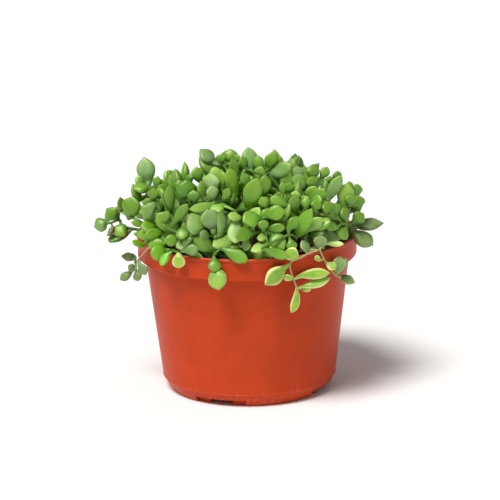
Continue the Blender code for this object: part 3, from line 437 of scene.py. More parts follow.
# Fine stems: a smooth line through the same points, thicker at the root and at each pair.
STEM_ROUND = 10
STEM_TAPER = (1.1, 0.62)
YOUNG_BARK = (0.080, 0.190, 0.012)
TRAILING_BARK = (0.36, 0.34, 0.12)
NODE_SWELL = 0.32
NODE_REACH = 1.3 * MM

# Tints of the leaves, in linear colour: what a leaf is tinted, how much powdery bloom lies
# on it, how cream its margin is and how purple its back is. The margin is a young leaf's
# cream edge, and on green leaves a thin pale edge that is a painted light rim.
TINTS = {
    "mid": ((0.130, 0.310, 0.014), 0.10, 0.12, 0.0),
    "bright": ((0.155, 0.390, 0.010), 0.04, 0.14, 0.0),
    "deep": ((0.064, 0.205, 0.007), 0.08, 0.08, 0.0),
    "bloom": ((0.135, 0.300, 0.035), 0.65, 0.14, 0.0),
    "pale": ((0.235, 0.450, 0.050), 0.25, 0.22, 0.0),
    "frost": ((0.330, 0.520, 0.150), 0.45, 0.25, 0.0),
    "dusty": ((0.170, 0.310, 0.075), 0.50, 0.55, 0.0),
    "olive": ((0.110, 0.195, 0.034), 0.50, 0.12, 0.2),
    "young": ((0.240, 0.460, 0.040), 0.10, 0.90, 0.0),
    "dusk": ((0.095, 0.165, 0.028), 0.25, 0.15, 0.9),
}
STEM_TINTS = {
    "front_rosette": "bloom", "big_round": "bloom", "left_rim": "bright",
    "mid_left_broad": "deep", "pale_cluster": "pale", "pale_hanging": "pale",
    "front_trail": "young", "right_trail": "young", "left_trail": "olive",
    "left_edge": "mid", "left_low": "bright", "centre_rosette": "mid", "tall_centre": "mid",
}
# A leaf that stands out from its stem's tint, by its row there. The first leaves of long_leaf,
# tall_centre and right_edge, and the first and third of pale_cluster, get lighter tints as
# painted light where the key light falls full on them; in pale_cluster this lies on top of real bloom.
LEAF_TINTS = {
    ("left_edge", 3): "bloom", ("left_edge", 4): "dusk", ("left_edge", 5): "dusk",
    ("left_low", 0): "deep", ("left_cup", 0): "bloom", ("top_left", 2): "bloom",
    ("top_right", 0): "bloom", ("top_right", 1): "bloom", ("top_right", 2): "bloom",
    ("right_low", 0): "olive", ("right_low", 1): "olive", ("over_rim", 1): "pale",
    ("left_rim", 2): "young", ("long_leaf", 0): "bright", ("centre_pair", 0): "mid",
    ("left_tall", 1): "bloom", ("tall_centre", 0): "bright", ("upright_left", 0): "bright",
    ("pale_cluster", 0): "frost", ("pale_cluster", 2): "frost", ("pale_hanging", 0): "frost",
    ("right_trail", 0): "dusty", ("right_trail", 1): "dusty", ("right_trail", 5): "dusty",
    ("right_trail", 6): "dusty", ("right_trail", 7): "dusty", ("right_edge", 0): "pale",
    ("long_leaf", 1): "pale", ("right_upper", 2): "bloom", ("top_centre", 0): "bloom",
    ("left_cup", 1): "mid", ("centre_rosette", 4): "pale", ("centre_rosette", 1): "pale",
}
# Leaves that the photo shows and for which the crowd left no room on their solid stems: the
# number of each in its stem's rows, and how far it is slid back along its line of sight.
LATE_LEAVES = {
    "left_cup": ((1, 0.0),), "left_low": ((5, 2 * MM),), "top_right": ((1, 4 * MM),),
    "left_trail": ((0, 0.0),),
}
# Leaves whose tips are plainly pointed in the photo.
SHARP_LEAVES = (
    ("left_edge", 1), ("left_edge", 3), ("left_cup", 1), ("left_tall", 0), ("right_low", 0),
    ("top_left", 2), ("long_leaf", 0), ("right_upper", 2), ("over_rim", 1),
)
SHARP_TIPS = (1.05, 1.25)
# Leaves that the photo shows broader than their rows say, and by what share.
BROAD_LEAVES = {("right_edge", 0): 1.18, ("right_low", 6): 1.25}
RULE_TINTS = ("mid", "mid", "bright", "bloom", "deep", "mid", "pale")
TINT_DRAW = (0.84, 1.16)
BUD_LENGTH = 5.5 * MM
BUD_SPREAD = math.radians(14)
BUD_ASPECT = 0.5

# The fine pot and soil.
POT_ROUND = 192
ROUND_STEPS = 4
SOIL_ROUND = 200
SOIL_FINE_RINGS = 90
CRUMBS = 900
CRUMB_SIZES = (0.5 * MM, 1.7 * MM)
FIBRES = 160
FIBRE_LENGTHS = (2.5 * MM, 7.0 * MM)
FIBRE_WIDTH = 0.35 * MM
SOIL_TINT = (0.035, 0.021, 0.013)
FIBRE_TINT = (0.20, 0.13, 0.07)
SOIL_LAYERS = ((4.0 * MM, 0.7 * MM), (1.8 * MM, 0.35 * MM), (0.9 * MM, 0.2 * MM))
WELD = 0.01 * MM
CUT_STEPS = 8
BEAD = 0.35 * MM

# The photo's frame and the stage.
SENSOR = 36
FRAME_WIDTH = 500
FLOOR_SIZE = 30
FLOOR_DROP = 0.2 * MM
KEY_PLACE = (math.radians(60), math.radians(-38), math.radians(24))
FILL_PLACE = (math.radians(25), math.radians(40), math.radians(40))


def leaf_width(t):
    """Half-width of a leaf at t of its length, as a share of its widest."""
    if t < LEAF_WIDEST:
        return math.sin(math.pi / 2 * t / LEAF_WIDEST) ** 1.1
    return math.cos(math.pi / 2 * (t - LEAF_WIDEST) / (1 - LEAF_WIDEST)) ** 0.75


def leaf_thickness(t):
    """Half-thickness of a leaf at t of its length, as a share of its thickest."""
    return math.sin(math.pi * (0.12 + 0.88 * t)) ** 0.6


def tube_faces(count, sides):
    """Faces between rings of points that follow each other."""
    faces = []
    for low in range(0, (count - 1) * sides, sides):
        for i in range(sides):
            j = (i + 1) % sides
            faces.append((low + i, low + j, low + sides + j, low + sides + i))
    return faces


def loft(rings, start=None, end=None):
    """Points and faces of a closed shape through rings, each end shut by a point or a face."""
    sides = len(rings[0])
    last = (len(rings) - 1) * sides
    points = [point for ring in rings for point in ring]
    faces = tube_faces(len(rings), sides)
    if start is None:
        faces.append(tuple(reversed(range(sides))))
    else:
        faces += [((i + 1) % sides, i, len(points)) for i in range(sides)]
        points.append(start)
    if end is None:
        faces.append(tuple(range(last, last + sides)))
    else:
        faces += [(last + i, last + (i + 1) % sides, len(points)) for i in range(sides)]
        points.append(end)
    return points, faces


def turned(profile, steps):
    """Points and faces of an open skin turned round the pot's axis."""
    turns = [2 * math.pi * i / steps for i in range(steps)]
    rings = [[Vector((r * math.cos(a), r * math.sin(a), z)) for a in turns] for r, z in profile]
    return [point for ring in rings for point in ring], tube_faces(len(rings), steps)


class Leaf:
    """One fleshy leaf: the point of the stem it grows from, its blade's base and its tip."""

    def __init__(self, base, tip, width, face, sweep=0.0, stalk=None, row=None):
        self.row = row
        self.base = base
        self.tip = tip
        self.width = width
        self.sweep = sweep
        self.stalk = stalk or base
        along = (tip - base).normalized()
        self.face = (face - along * face.dot(along)).normalized()

    def moved(self, step):
        base, tip = self.base + step, self.tip + step
        return Leaf(base, tip, self.width, self.face, self.sweep, None, self.row)

    def grown_from(self, stalk):
        return Leaf(self.base, self.tip, self.width, self.face, self.sweep, stalk, self.row)

    def folded(self):
        """How far along the blade its point of the stem lies, as a share of its length."""
        along = self.tip - self.base
        return (self.stalk - self.base).dot(along) / along.length_squared

    def ring(self, middle, side, half_width, half_depth):
        turns = [2 * math.pi * i / LEAF_SIDES for i in range(LEAF_SIDES)]
        across = side * half_width
        deep = self.face * half_depth
        return [middle + across * math.cos(a) + deep * math.sin(a) for a in turns]

    def blade_rings(self, extra):
        length = (self.tip - self.base).length
        along = (self.tip - self.base) / length
        side = along.cross(self.face)
        rings = []
        for t in LEAF_STATIONS:
            arch = 4 * t * (1 - t)
            middle = self.base + along * (length * t) - self.face * (LEAF_BOW * length * arch)
            half_width = self.width / 2 * leaf_width(t)
            half_depth = self.width / 2 * LEAF_THICKNESS * leaf_thickness(t)
            middle = middle + side * (self.sweep * arch)
            rings.append(self.ring(middle, side, half_width + extra, half_depth + extra))
        return rings

    def shape(self, extra=0.0):
        """The leaf's solid, or with extra a little more than it."""
        rings = self.blade_rings(extra)
        out = (sum(rings[0], Vector()) / LEAF_SIDES - self.stalk).normalized()
        root = self.stalk - out * ROOT_SINK
        return loft(rings, root, self.tip + out * extra)

    def blade(self, extra=0.0):
        """The leaf's shape without its root, for telling whether it meets its own stem."""
        out = (self.tip - self.base).normalized()
        return loft(self.blade_rings(extra), None, self.tip + out * extra)


class Crowd:
    """What has grown so far, so that each new leaf or stem can be kept clear of it."""

    def __init__(self):
        self.shapes = {}

    def add(self, owner, shape):
        points, faces = shape
        middle = sum(points, Vector()) / len(points)
        reach = max((point - middle).length for point in points)
        tree = BVHTree.FromPolygons(points, faces)
        self.shapes.setdefault(owner, []).append((middle, reach, tree))

    def drop(self, owner):
        self.shapes.pop(owner, None)

    def hits(self, shape, owners):
        """How many shapes of the owners this one meets."""
        points = shape[0]
        middle = sum(points, Vector()) / len(points)
        reach = max((point - middle).length for point in points)
        tree = BVHTree.FromPolygons(*shape)
        count = 0
        for owner in owners:
            for other, size, other_tree in self.shapes.get(owner, ()):
                if (middle - other).length < reach + size and tree.overlap(other_tree):
                    count += 1
        return count

    def clear(self, leaf, owner):
        """Whether a leaf is clear of all others, and its blade of its own stem and leaves."""
        own = (owner, STEM_MARK + owner)
        others = [name for name in self.shapes if name not in own]
        if self.hits(leaf.shape(LEAF_KEEP_OUT), others):
            return False
        return not self.hits(leaf.blade(GAP), own)


def sight(x, y):
    """Direction from the eye through a point of the front view."""
    turn = Euler((math.pi / 2 - EYE_PITCH, 0, -EYE_YAW)).to_matrix()
    turn = turn @ Matrix.Rotation(EYE_ROLL, 3, "Z")
    ray = Vector((x - VIEW_MIDDLE[0], VIEW_MIDDLE[1] - y, -VIEW_SCALE))
    return (turn @ ray).normalized()


def crown_radius(height):
    """The crown's radius at a height."""
    if height <= CROWN_OUTLINE[0][0]:
        return CROWN_OUTLINE[0][1]
    for (low, wide), (high, narrow) in zip(CROWN_OUTLINE, CROWN_OUTLINE[1:]):
        if height < high:
            return wide + (narrow - wide) * (height - low) / (high - low)
    return 0.0


def squeeze(point):
    """How much shorter the crown is from front to back than from side to side."""
    share = (point.z - SQUEEZE_FROM) / (SQUEEZE_TO - SQUEEZE_FROM)
    return 1 + CROWN_SQUEEZE * min(max(share, 0.0), 1.0)


def on_crown(x, y):
    """Where the line of sight first meets the crown, or the point of it nearest to the crown."""
    ray = sight(x, y)
    best = None
    for step in range(SIGHT_STEPS):
        point = EYE + ray * (SIGHT_NEAREST + SIGHT_STEP * step)
        outside = math.hypot(point.x, point.y * squeeze(point)) - crown_radius(point.z)
        if best is None or outside < best[0]:
            best = (outside, point)
        if outside <= 0:
            return point
    return best[1]


def seen_leaf(row, draw):
    """The leaf of a row, where the line of sight to its middle meets the crown."""
    x, y, tip_x, tip_y, width, lean, turn, sweep = row
    middle = on_crown((x + tip_x) / 2, (y + tip_y) / 2)
    distance = (middle - EYE).length
    point_size = distance / VIEW_SCALE
    slope = math.tan(math.radians(lean + draw.uniform(*LEAN_DRAW)))
    deep = math.hypot(tip_x - x, tip_y - y) * point_size * slope
    base = EYE + sight(x, y) * (distance + deep / 2)
    tip = EYE + sight(tip_x, tip_y) * (distance - deep / 2)
    along = (tip - base).normalized()
    to_eye = (EYE - middle).normalized()
    face = to_eye + (middle - CROWN_HEART).normalized() * FACE_OUT + Vector((0, 0, FACE_UP))
    roll = math.radians(turn + draw.uniform(-FACE_ROLL, FACE_ROLL))
    face = Matrix.Rotation(roll, 3, along) @ face
    leaf = Leaf(base, tip, width * SEEN_WIDTH * point_size, face, sweep * point_size)
    across = abs(along.cross(to_eye).normalized().dot(along.cross(leaf.face)))
    shown = math.hypot(across, LEAF_THICKNESS * math.sqrt(max(1 - across * across, 0.0)))
    leaf.width *= min(1 / shown, MOST_WIDENING)
    return leaf


def seen_leaves(name, rows, crowd, draw):
    """The leaves of one stem, each slid along its line of sight until it is clear."""
    leaves = []
    for number, row in enumerate(rows):
        leaf = seen_leaf(row, draw)
        leaf.row = number
        ray = (leaf.base - EYE).normalized()
        for slide in SLIDES:
            slid = leaf.moved(ray * slide * MM)
            if crowd.clear(slid, name):
                leaves.append(slid)
                crowd.add(name, slid.shape())
                break
    return leaves


def stem_shape(points, radius):
    """A tube along a stem, for telling what it meets."""
    turns = [2 * math.pi * i / STEM_SIDES for i in range(STEM_SIDES)]
    side = Vector((0, 1, 0))
    rings = []
    for k, point in enumerate(points):
        ahead = (points[min(k + 1, len(points) - 1)] - points[max(k - 1, 0)]).normalized()
        side = (side - ahead * side.dot(ahead)).normalized()
        other = ahead.cross(side)
        rings.append([
            point + (side * math.cos(turn) + other * math.sin(turn)) * radius for turn in turns
        ])
    return loft(rings)


def root_points(azimuth, radius):
    """The straight foot of a stem, from its end in the soil to just above the soil."""
    at = Vector((radius * math.cos(azimuth), radius * math.sin(azimuth), soil_top(radius)))
    return [at - Vector((0, 0, ROOT_DEPTH)), at + Vector((0, 0, ROOT_CLEAR))]


def bends(foot, first):
    """Places for a stem's bend between its foot and the first of its leaves."""
    for share in BENDS:
        bend = foot.lerp(first, share)
        bend.z += BEND_RISE * (first - foot).length * (1 - share)
        yield bend
    reach = math.hypot(first.x, first.y)
    if reach > OVER_RIM_RADIUS:
        over = Vector((first.x, first.y, 0)) * (OVER_RIM_RADIUS / reach)
        yield over + Vector((0, 0, RIM_TOP + OVER_RIM_RISE))


def routes(through, roots):
    """Ways for a stem from the soil to the first of its leaves, the straightest first."""
    first = through[0]
    reach = math.hypot(first.x, first.y)
    heading = math.atan2(first.y, first.x)
    for spread in ROOT_SPREADS:
        for swing in ROOT_SWINGS:
            radius = min(reach * (ROOT_SPREAD + spread), ROOT_FURTHEST)
            foot = root_points(heading + math.radians(swing), radius)
            if any((foot[0] - other).length < ROOT_SPACING for other in roots):
                continue
            for bend in bends(foot[1], first):
                yield foot + [bend] + through


def grow_stem(name, through, radius, crowd, roots, most_hits):
    """The stem's points, along the way that meets no stem, pot or soil, and fewest leaves."""
    best = None
    solid = [owner for owner in crowd.shapes if owner.startswith((STEM_MARK, "pot", "soil"))]
    leafy = [owner for owner in crowd.shapes if owner not in solid and owner != name]
    for points in routes(through, roots):
        shape = stem_shape(points[1:], radius + STEM_KEEP_OUT)
        if crowd.hits(shape, solid):
            continue
        hits = crowd.hits(shape, leafy)
        if best is None or hits < best[0]:
            best = (hits, points)
        if not hits:
            break
    if best is None or best[0] > most_hits:
        return None
    crowd.add(STEM_MARK + name, stem_shape(best[1], radius))
    roots.append(best[1][0])
    return best[1]


def nearest_on(points, place):
    """The point of a stem's line nearest to a place."""
    best = None
    for low, high in zip(points, points[1:]):
        point, share = intersect_point_line(place, low, high)
        point = low.lerp(high, min(max(share, 0.0), 1.0))
        if best is None or (point - place).length < (best - place).length:
            best = point
    return best


def raised(point):
    """A point of a stem, lifted clear of the rim if it is over it."""
    over_rim = abs(math.hypot(point.x, point.y) - RIM_RADIUS) < RIM_NEAR
    if over_rim and point.z < RIM_TOP + OVER_RIM_RISE:
        return Vector((point.x, point.y, RIM_TOP + OVER_RIM_RISE))
    return point


def paired(bases, root):
    """Where a stem passes through the bases of its leaves, two at a time."""
    bases = sorted(bases, key=lambda base: (base - root).length)
    pairs = [bases[k : k + 2] for k in range(0, len(bases), 2)]
    return [raised(sum(pair, Vector()) / len(pair)) for pair in pairs]


def attached(name, leaf, points, crowd):
    """A leaf on its stem's line, slid or narrowed until it is clear there."""
    ray = (leaf.base - EYE).normalized()
    for narrower in NARROWINGS:
        for slide in SLIDES:
            moved = leaf.moved(ray * slide * MM)
            moved.width *= narrower
            for shift in STALK_SHIFTS:
                aim = moved.base + (moved.base - moved.tip).normalized() * shift
                grown = moved.grown_from(nearest_on(points, aim))
                if grown.folded() <= MOST_FOLDED and crowd.clear(grown, name):
                    crowd.add(name, grown.shape())
                    return grown
    return None


def side_leaf(name, spot, heading, bearing, spread, length, crowd):
    """A leaf that grows from a spot on a stem, bent or shortened until it is clear."""
    square = heading.orthogonal().normalized()
    for size, wider, turn in itertools.product(NARROWINGS, SPREADS, TURNS):
        out = Matrix.Rotation(bearing + math.radians(turn), 3, heading) @ square
        angle = math.radians(min(spread + wider, MOST_SPREAD))
        along = heading * math.cos(angle) + out * math.sin(angle)
        base = spot + along * STEM_RADIUS
        leaf = Leaf(
            base, base + along * length * size, length * size * LEAF_ASPECT, heading, 0, spot
        )
        if crowd.clear(leaf, name):
            crowd.add(name, leaf.shape())
            return leaf
    return None


def point_back(points, distance):
    """The point this far back along a stem from its tip, and the stem's heading there."""
    for high, low in zip(points[::-1], points[-2::-1]):
        step = (high - low).length
        if distance <= step:
            return high.lerp(low, distance / step), (high - low).normalized()
        distance -= step
    return points[0], (points[1] - points[0]).normalized()


def side_pairs(name, points, pairs, length, turn, crowd):
    leaves = []
    for k, (distance, spread, size) in enumerate(pairs):
        spot, heading = point_back(points, distance)
        if spot.z < points[1].z:
            break
        for half in (0, math.pi):
            bearing = turn + k * math.pi / 2 + half
            leaf = side_leaf(name, spot, heading, bearing, spread, length * size, crowd)
            if leaf:
                leaves.append(leaf)
    return leaves


def seen_line(name, leaves):
    """The points that a stem of the front view passes through above its bend."""
    if name in TRAILING_STEMS:
        return [on_crown(x, y) for x, y in TRAILING_STEMS[name][0]]
    middle = sum((leaf.base for leaf in leaves), Vector()) / len(leaves)
    root = Vector((middle.x * ROOT_SPREAD, middle.y * ROOT_SPREAD, SOIL_EDGE_TOP))
    return paired([leaf.base for leaf in leaves], root)


def seen_shoots(crowd, roots):
    """The stems of the front view: each one's radius, points and leaves."""
    draw = random.Random(SEED)
    rows = {name: leaves for name, (line, leaves) in TRAILING_STEMS.items()}
    rows.update(SEEN_STEMS)
    loose = {name: seen_leaves(name, rows[name], crowd, draw) for name in rows}
    stems = {}
    for name, leaves in loose.items():
        through = seen_line(name, leaves)
        radius = TRAILING_RADIUS if name in TRAILING_STEMS else STEM_RADIUS
        stems[name] = (radius, grow_stem(name, through, radius, crowd, roots, math.inf))
    for name in loose:
        crowd.drop(name)
    shoots = {}
    for name, (radius, points) in stems.items():
        leaves = [attached(name, leaf, points, crowd) for leaf in loose[name]]
        shoots[name] = (radius, points, [leaf for leaf in leaves if leaf])
    for name, (radius, points, leaves) in shoots.items():
        turn = draw.uniform(0, math.pi)
        if name in TRAILING_STEMS or len(leaves) > FEW_LEAVES:
            continue
        lowest = (points[-1] - points[3]).length
        pairs = [(lowest + OLD_PAIR, OLD_SPREAD, OLD_LENGTH)]
        leaves += side_pairs(name, points, pairs, LEAF_LENGTH, turn, crowd)
    return shoots


def rule_shoots(crowd, roots, tips):
    """The stems at the back and inside, whose tips fill the crown where no other is near."""
    shoots = {}
    draw = random.Random(SEED + 1)
    for k in range(SPIRAL_STEPS):
        if len(shoots) == RULE_STEMS:
            break
        share = (k * SPIRAL_STRIDE % SPIRAL_STEPS + 0.5) / SPIRAL_STEPS
        angle = k * SPIRAL_STRIDE % SPIRAL_STEPS * math.pi * (3 - math.sqrt(5))
        height = SPIRAL_HIGH + (SPIRAL_LOW - SPIRAL_HIGH) * share
        out = Vector((math.cos(angle), math.sin(angle), 0))
        lean = SPIRAL_LEAN * share**LEAN_CURVE
        heading = out * math.sin(lean) + Vector((0, 0, math.cos(lean)))
        tip = out * crown_radius(height) + Vector((0, 0, height))
        tip.y /= squeeze(tip)
        tip.z -= BACK_DROP * max(tip.y, 0)
        tip -= heading * TIP_INSIDE
        turn = draw.uniform(0, math.pi)
        length = LEAF_LENGTH * draw.uniform(*LENGTH_DRAW)
        if min((tip - other).length for other in tips) < TIP_SPACING:
            continue
        name = f"stem_{len(shoots) + 1:02d}"
        through = [tip - heading * RULE_STRAIGHT, tip]
        points = grow_stem(name, through, STEM_RADIUS, crowd, roots, 0)
        if points is None:
            continue
        leaves = side_pairs(name, points, PAIRS, length, turn, crowd)
        if len(leaves) < FEWEST_LEAVES:
            crowd.drop(name)
            crowd.drop(STEM_MARK + name)
            roots.pop()
            continue
        shoots[name] = (STEM_RADIUS, points, leaves)
        tips.append(tip)
    return shoots


def grow():
    """Every leafy stem: its name, and its radius, points and leaves."""
    crowd = Crowd()
    crowd.add("pot", turned(POT_KEEP_OUT, POT_STEPS))
    crowd.add("soil", turned(SOIL_KEEP_OUT, SOIL_STEPS))
    roots = []
    shoots = seen_shoots(crowd, roots)
    tips = [points[-1] for radius, points, leaves in shoots.values()]
    shoots.update(rule_shoots(crowd, roots, tips))
    return shoots


def soil_top(radius):
    """The soil's height at a distance from the pot's axis, without its lumps."""
    return SOIL_EDGE_TOP + SOIL_MOUND * math.cos(math.pi / 2 * min(radius / RIM_RADIUS, 1.0))


def smooth_line(points, steps):
    """Points of a smooth curve through the given ones, this many to a stretch."""
    line = []
    for k in range(len(points) - 1):
        low, high = points[k], points[k + 1]
        leave = (high - points[max(k - 1, 0)]) * CURVE_PULL
        reach = (points[min(k + 2, len(points) - 1)] - low) * CURVE_PULL
        for step in range(steps):
            t = step / steps
            line.append(
                low * (2 * t**3 - 3 * t**2 + 1) + leave * (t**3 - 2 * t**2 + t)
                + high * (3 * t**2 - 2 * t**3) + reach * (t**3 - t**2)
            )
    return line + [points[-1]]


def blade_width(t, widest, fullness, shoulder, acuteness):
    """Half-width of a fine leaf at t of its length, as a share of its widest."""
    if t < widest:
        rise = math.sin(math.pi / 2 * max(t, 0.0) / widest) ** fullness
        return PETIOLE_SHARE + (1 - PETIOLE_SHARE) * rise
    return (1 - ((t - widest) / (1 - widest)) ** shoulder) ** acuteness


class Skin:
    """A mesh in the making: its points, its faces, and what its material reads at a point."""

    def __init__(self):
        self.points = []
        self.faces = []
        self.kinds = []
        self.tint = []
        self.place = []
        self.mood = []

    def add(self, points, faces, kind, tint, places, mood):
        first = len(self.points)
        self.points += points
        self.faces += [tuple(first + i for i in face) for face in faces]
        self.kinds += [kind] * len(faces)
        self.tint += [tint] * len(points)
        self.place += places
        self.mood += [mood] * len(points)

    def mesh(self, name, materials):
        mesh = bpy.data.meshes.new(name)
        mesh.from_pydata(self.points, [], self.faces)
        for material in materials:
            mesh.materials.append(material)
        mesh.polygons.foreach_set("material_index", self.kinds)
        mesh.shade_smooth()
        tint = mesh.attributes.new("tint", "FLOAT_COLOR", "POINT")
        tint.data.foreach_set("color", list(itertools.chain(*self.tint)))
        for name, rows in (("place", self.place), ("mood", self.mood)):
            layer = mesh.attributes.new(name, "FLOAT_VECTOR", "POINT")
            layer.data.foreach_set("vector", list(itertools.chain(*rows)))
        return mesh


def blade_line(leaf, stalk):
    """The middle line of a fine leaf: from its stem through its blade to its tip."""
    length = (leaf.tip - leaf.base).length
    along = (leaf.tip - leaf.base) / length
    side = along.cross(leaf.face)
    knots = [stalk]
    for t in LINE_KNOTS:
        arch = 4 * t * (1 - t)
        middle = leaf.base + along * (length * t) - leaf.face * (LEAF_BOW * length * arch)
        knots.append(middle + side * (leaf.sweep * arch))
    return knots


def line_at(knots, t):
    """The point of the middle line at t of the blade, with the stem at 0."""
    marks = (0.0,) + LINE_KNOTS
    t = min(max(t, 0.0), 1.0)
    k = max(i for i, mark in enumerate(marks[:-1]) if mark <= t)
    low, high = knots[k], knots[k + 1]
    span = marks[k + 1] - marks[k]
    before = marks[k + 1] - marks[max(k - 1, 0)]
    after = marks[min(k + 2, len(marks) - 1)] - marks[k]
    leave = (high - knots[max(k - 1, 0)]) * (span / before)
    reach = (knots[min(k + 2, len(knots) - 1)] - low) * (span / after)
    s = (t - marks[k]) / span
    return (
        low * (2 * s**3 - 3 * s**2 + 1) + leave * (s**3 - 2 * s**2 + s)
        + high * (3 * s**2 - 2 * s**3) + reach * (s**3 - s**2)
    )


def add_blade(skin, leaf, stalk, tips, breadth, tint, mood, draw):
    """Adds a fine leaf: a fleshy blade, fuller behind than in front, on its petiole."""
    knots = blade_line(leaf, stalk)
    shares = (BLADE_WIDEST, BLADE_FULLNESS, TIP_SHOULDER, tips)
    outline = [draw.uniform(*share) for share in shares]
    cup = draw.uniform(*BLADE_CUP)
    fold = draw.uniform(*BLADE_FOLD)
    half = leaf.width / 2 * BLADE_SLIMNESS * breadth
    rings, places = [], []
    for t in BLADE_STATIONS:
        middle = line_at(knots, t)
        ahead = (line_at(knots, t + 0.03) - line_at(knots, t - 0.03)).normalized()
        side = ahead.cross(leaf.face).normalized()
        up = side.cross(ahead)
        wide = half * blade_width(t, *outline)
        flesh = BLADE_FLESH * leaf_thickness(min(max(t, 0.0), 0.985))
        deep = half * min(flesh, blade_width(t, *outline) * 0.9)
        ring = []
        for i in range(BLADE_SIDES):
            turn = 2 * math.pi * i / BLADE_SIDES
            across = math.copysign(abs(math.cos(turn)) ** MARGIN_SOFTNESS, math.cos(turn))
            rise = math.sin(turn) * (FACE_SHARE if math.sin(turn) > 0 else BACK_SHARE)
            lift = wide * (cup * across * across + fold * abs(across)) * min(max(t, 0.0) / 0.4, 1.0)
            ring.append(middle + side * (wide * across) + up * (deep * rise + lift))
            places.append((max(t, 0.0), abs(math.cos(turn)), math.sin(turn)))
        rings.append(ring)
    end = knots[-1] + (knots[-1] - knots[-2]).normalized() * (TIP_POINT * (leaf.tip - leaf.base).length)
    points, faces = loft(rings, None, end)
    places.append((1.0, 0.5, 0.0))
    skin.add(points, faces, 0, tint, places, mood)


def add_stem(skin, points, radius, stalks, tint, mood):
    """Adds a fine stem: a smooth tapered tube that swells where leaves join it."""
    line = smooth_line(points, LINE_STEPS)
    lengths = [0.0]
    for low, high in zip(line, line[1:]):
        lengths.append(lengths[-1] + (high - low).length)
    side = Vector((0, 1, 0))
    rings, places = [], []
    for k, point in enumerate(line):
        ahead = (line[min(k + 1, len(line) - 1)] - line[max(k - 1, 0)]).normalized()
        side = (side - ahead * side.dot(ahead)).normalized()
        other = ahead.cross(side)
        share = lengths[k] / lengths[-1]
        near = min((point - stalk).length for stalk in stalks) if stalks else 1.0
        size = radius * (STEM_TAPER[0] + (STEM_TAPER[1] - STEM_TAPER[0]) * share)
        size *= 1 + NODE_SWELL * math.exp(-((near / NODE_REACH) ** 2))
        ring = []
        for i in range(STEM_ROUND):
            turn = 2 * math.pi * i / STEM_ROUND
            ring.append(point + (side * math.cos(turn) + other * math.sin(turn)) * size)
            places.append((share, lengths[k], i / STEM_ROUND))
        rings.append(ring)
    ahead = (line[-1] - line[-2]).normalized()
    points, faces = loft(rings, None, line[-1] + ahead * radius * 0.8)
    places.append((1.0, lengths[-1], 0.0))
    skin.add(points, faces, 1, tint, places, mood)
    return line


def leaf_look(name, leaf, draw):
    """Tint and mood of one leaf."""
    default = STEM_TINTS.get(name, "mid")
    if name.startswith("stem_"):
        default = RULE_TINTS[int(name[-2:]) % len(RULE_TINTS)]
    colour, bloom, cream, purple = TINTS[LEAF_TINTS.get((name, leaf.row), default)]
    strength = draw.uniform(*TINT_DRAW)
    warm = draw.uniform(-0.06, 0.10)
    tint = (
        colour[0] * strength * (1 + warm), colour[1] * strength, colour[2] * strength, purple,
    )
    return tint, (draw.random(), bloom * draw.uniform(0.7, 1.2), cream)


def add_buds(skin, line, name, draw):
    """Adds the two smallest leaves, still upright, at the tip of a stem."""
    tip, heading = line[-1], (line[-1] - line[-3]).normalized()
    square = heading.orthogonal().normalized()
    turn = draw.uniform(0, math.pi)
    for half in (0, math.pi):
        out = Matrix.Rotation(turn + half, 3, heading) @ square
        along = heading * math.cos(BUD_SPREAD) + out * math.sin(BUD_SPREAD)
        length = BUD_LENGTH * draw.uniform(0.8, 1.2)
        base = tip - heading * 0.4 * MM
        bud = Leaf(base, base + along * length, length * BUD_ASPECT, -out)
        tint, mood = leaf_look(name, bud, draw)
        add_blade(skin, bud, base, TIP_ACUTENESS, 1.0, tint, mood, draw)


def tip_shape(name, leaf):
    """How sharp the tip of a leaf may be."""
    if (name, leaf.row) in SHARP_LEAVES:
        return SHARP_TIPS
    return ROUND_TIPS if name in ROUND_STEMS else TIP_ACUTENESS


def late_leaves(name):
    """The leaves of a stem that only its fine piece bears."""
    rows = SEEN_STEMS.get(name) or TRAILING_STEMS.get(name, ((), ()))[1]
    leaves = []
    for number, slide in LATE_LEAVES.get(name, ()):
        leaf = seen_leaf(rows[number], random.Random(name))
        leaf.row = number
        leaves.append(leaf.moved((leaf.base - EYE).normalized() * slide))
    return leaves


def leafy_stem(name, radius, points, leaves, materials):
    """One piece: a fine stem with its fine leaves, which stands for its node."""
    draw = random.Random(name)
    skin = Skin()
    stalks = [leaf.stalk for leaf in leaves]
    young = float(name in TRAILING_STEMS)
    bark = TRAILING_BARK if young else YOUNG_BARK
    line = add_stem(skin, points, radius, stalks, (*bark, 0.0), (0.0, 0.0, young))
    for leaf in leaves:
        tint, mood = leaf_look(name, leaf, draw)
        breadth = BROAD_LEAVES.get((name, leaf.row), 1.0)
        stalk = nearest_on(line, leaf.stalk)
        add_blade(skin, leaf, stalk, tip_shape(name, leaf), breadth, tint, mood, draw)
    if name.startswith("stem_"):
        add_buds(skin, line, name, draw)
    piece = new_piece("leafy_" + name, skin.mesh("leafy_" + name, materials))
    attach(piece, "root")
    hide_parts(name)
    return piece


def new_piece(name, mesh):
    mesh.transform(Matrix.Translation(POT_PLACE))
    piece = bpy.data.objects.new(name, mesh)
    bpy.context.scene.collection.objects.link(piece)
    return piece


def rounded(profile):
    """A profile of (radius, height, rounding) with each corner turned into an arc."""
    points = [Vector((r, z)) for r, z, size in profile]
    line = [points[0]]
    for before, corner, after, row in zip(points, points[1:], points[2:], profile[1:]):
        size = min(row[2], (before - corner).length * 0.45, (after - corner).length * 0.45)
        start = corner + (before - corner).normalized() * size
        end = corner + (after - corner).normalized() * size
        for k in range(ROUND_STEPS + 1):
            t = k / ROUND_STEPS
            line.append(start.lerp(corner, t).lerp(corner.lerp(end, t), t))
    return line + [points[-1]]


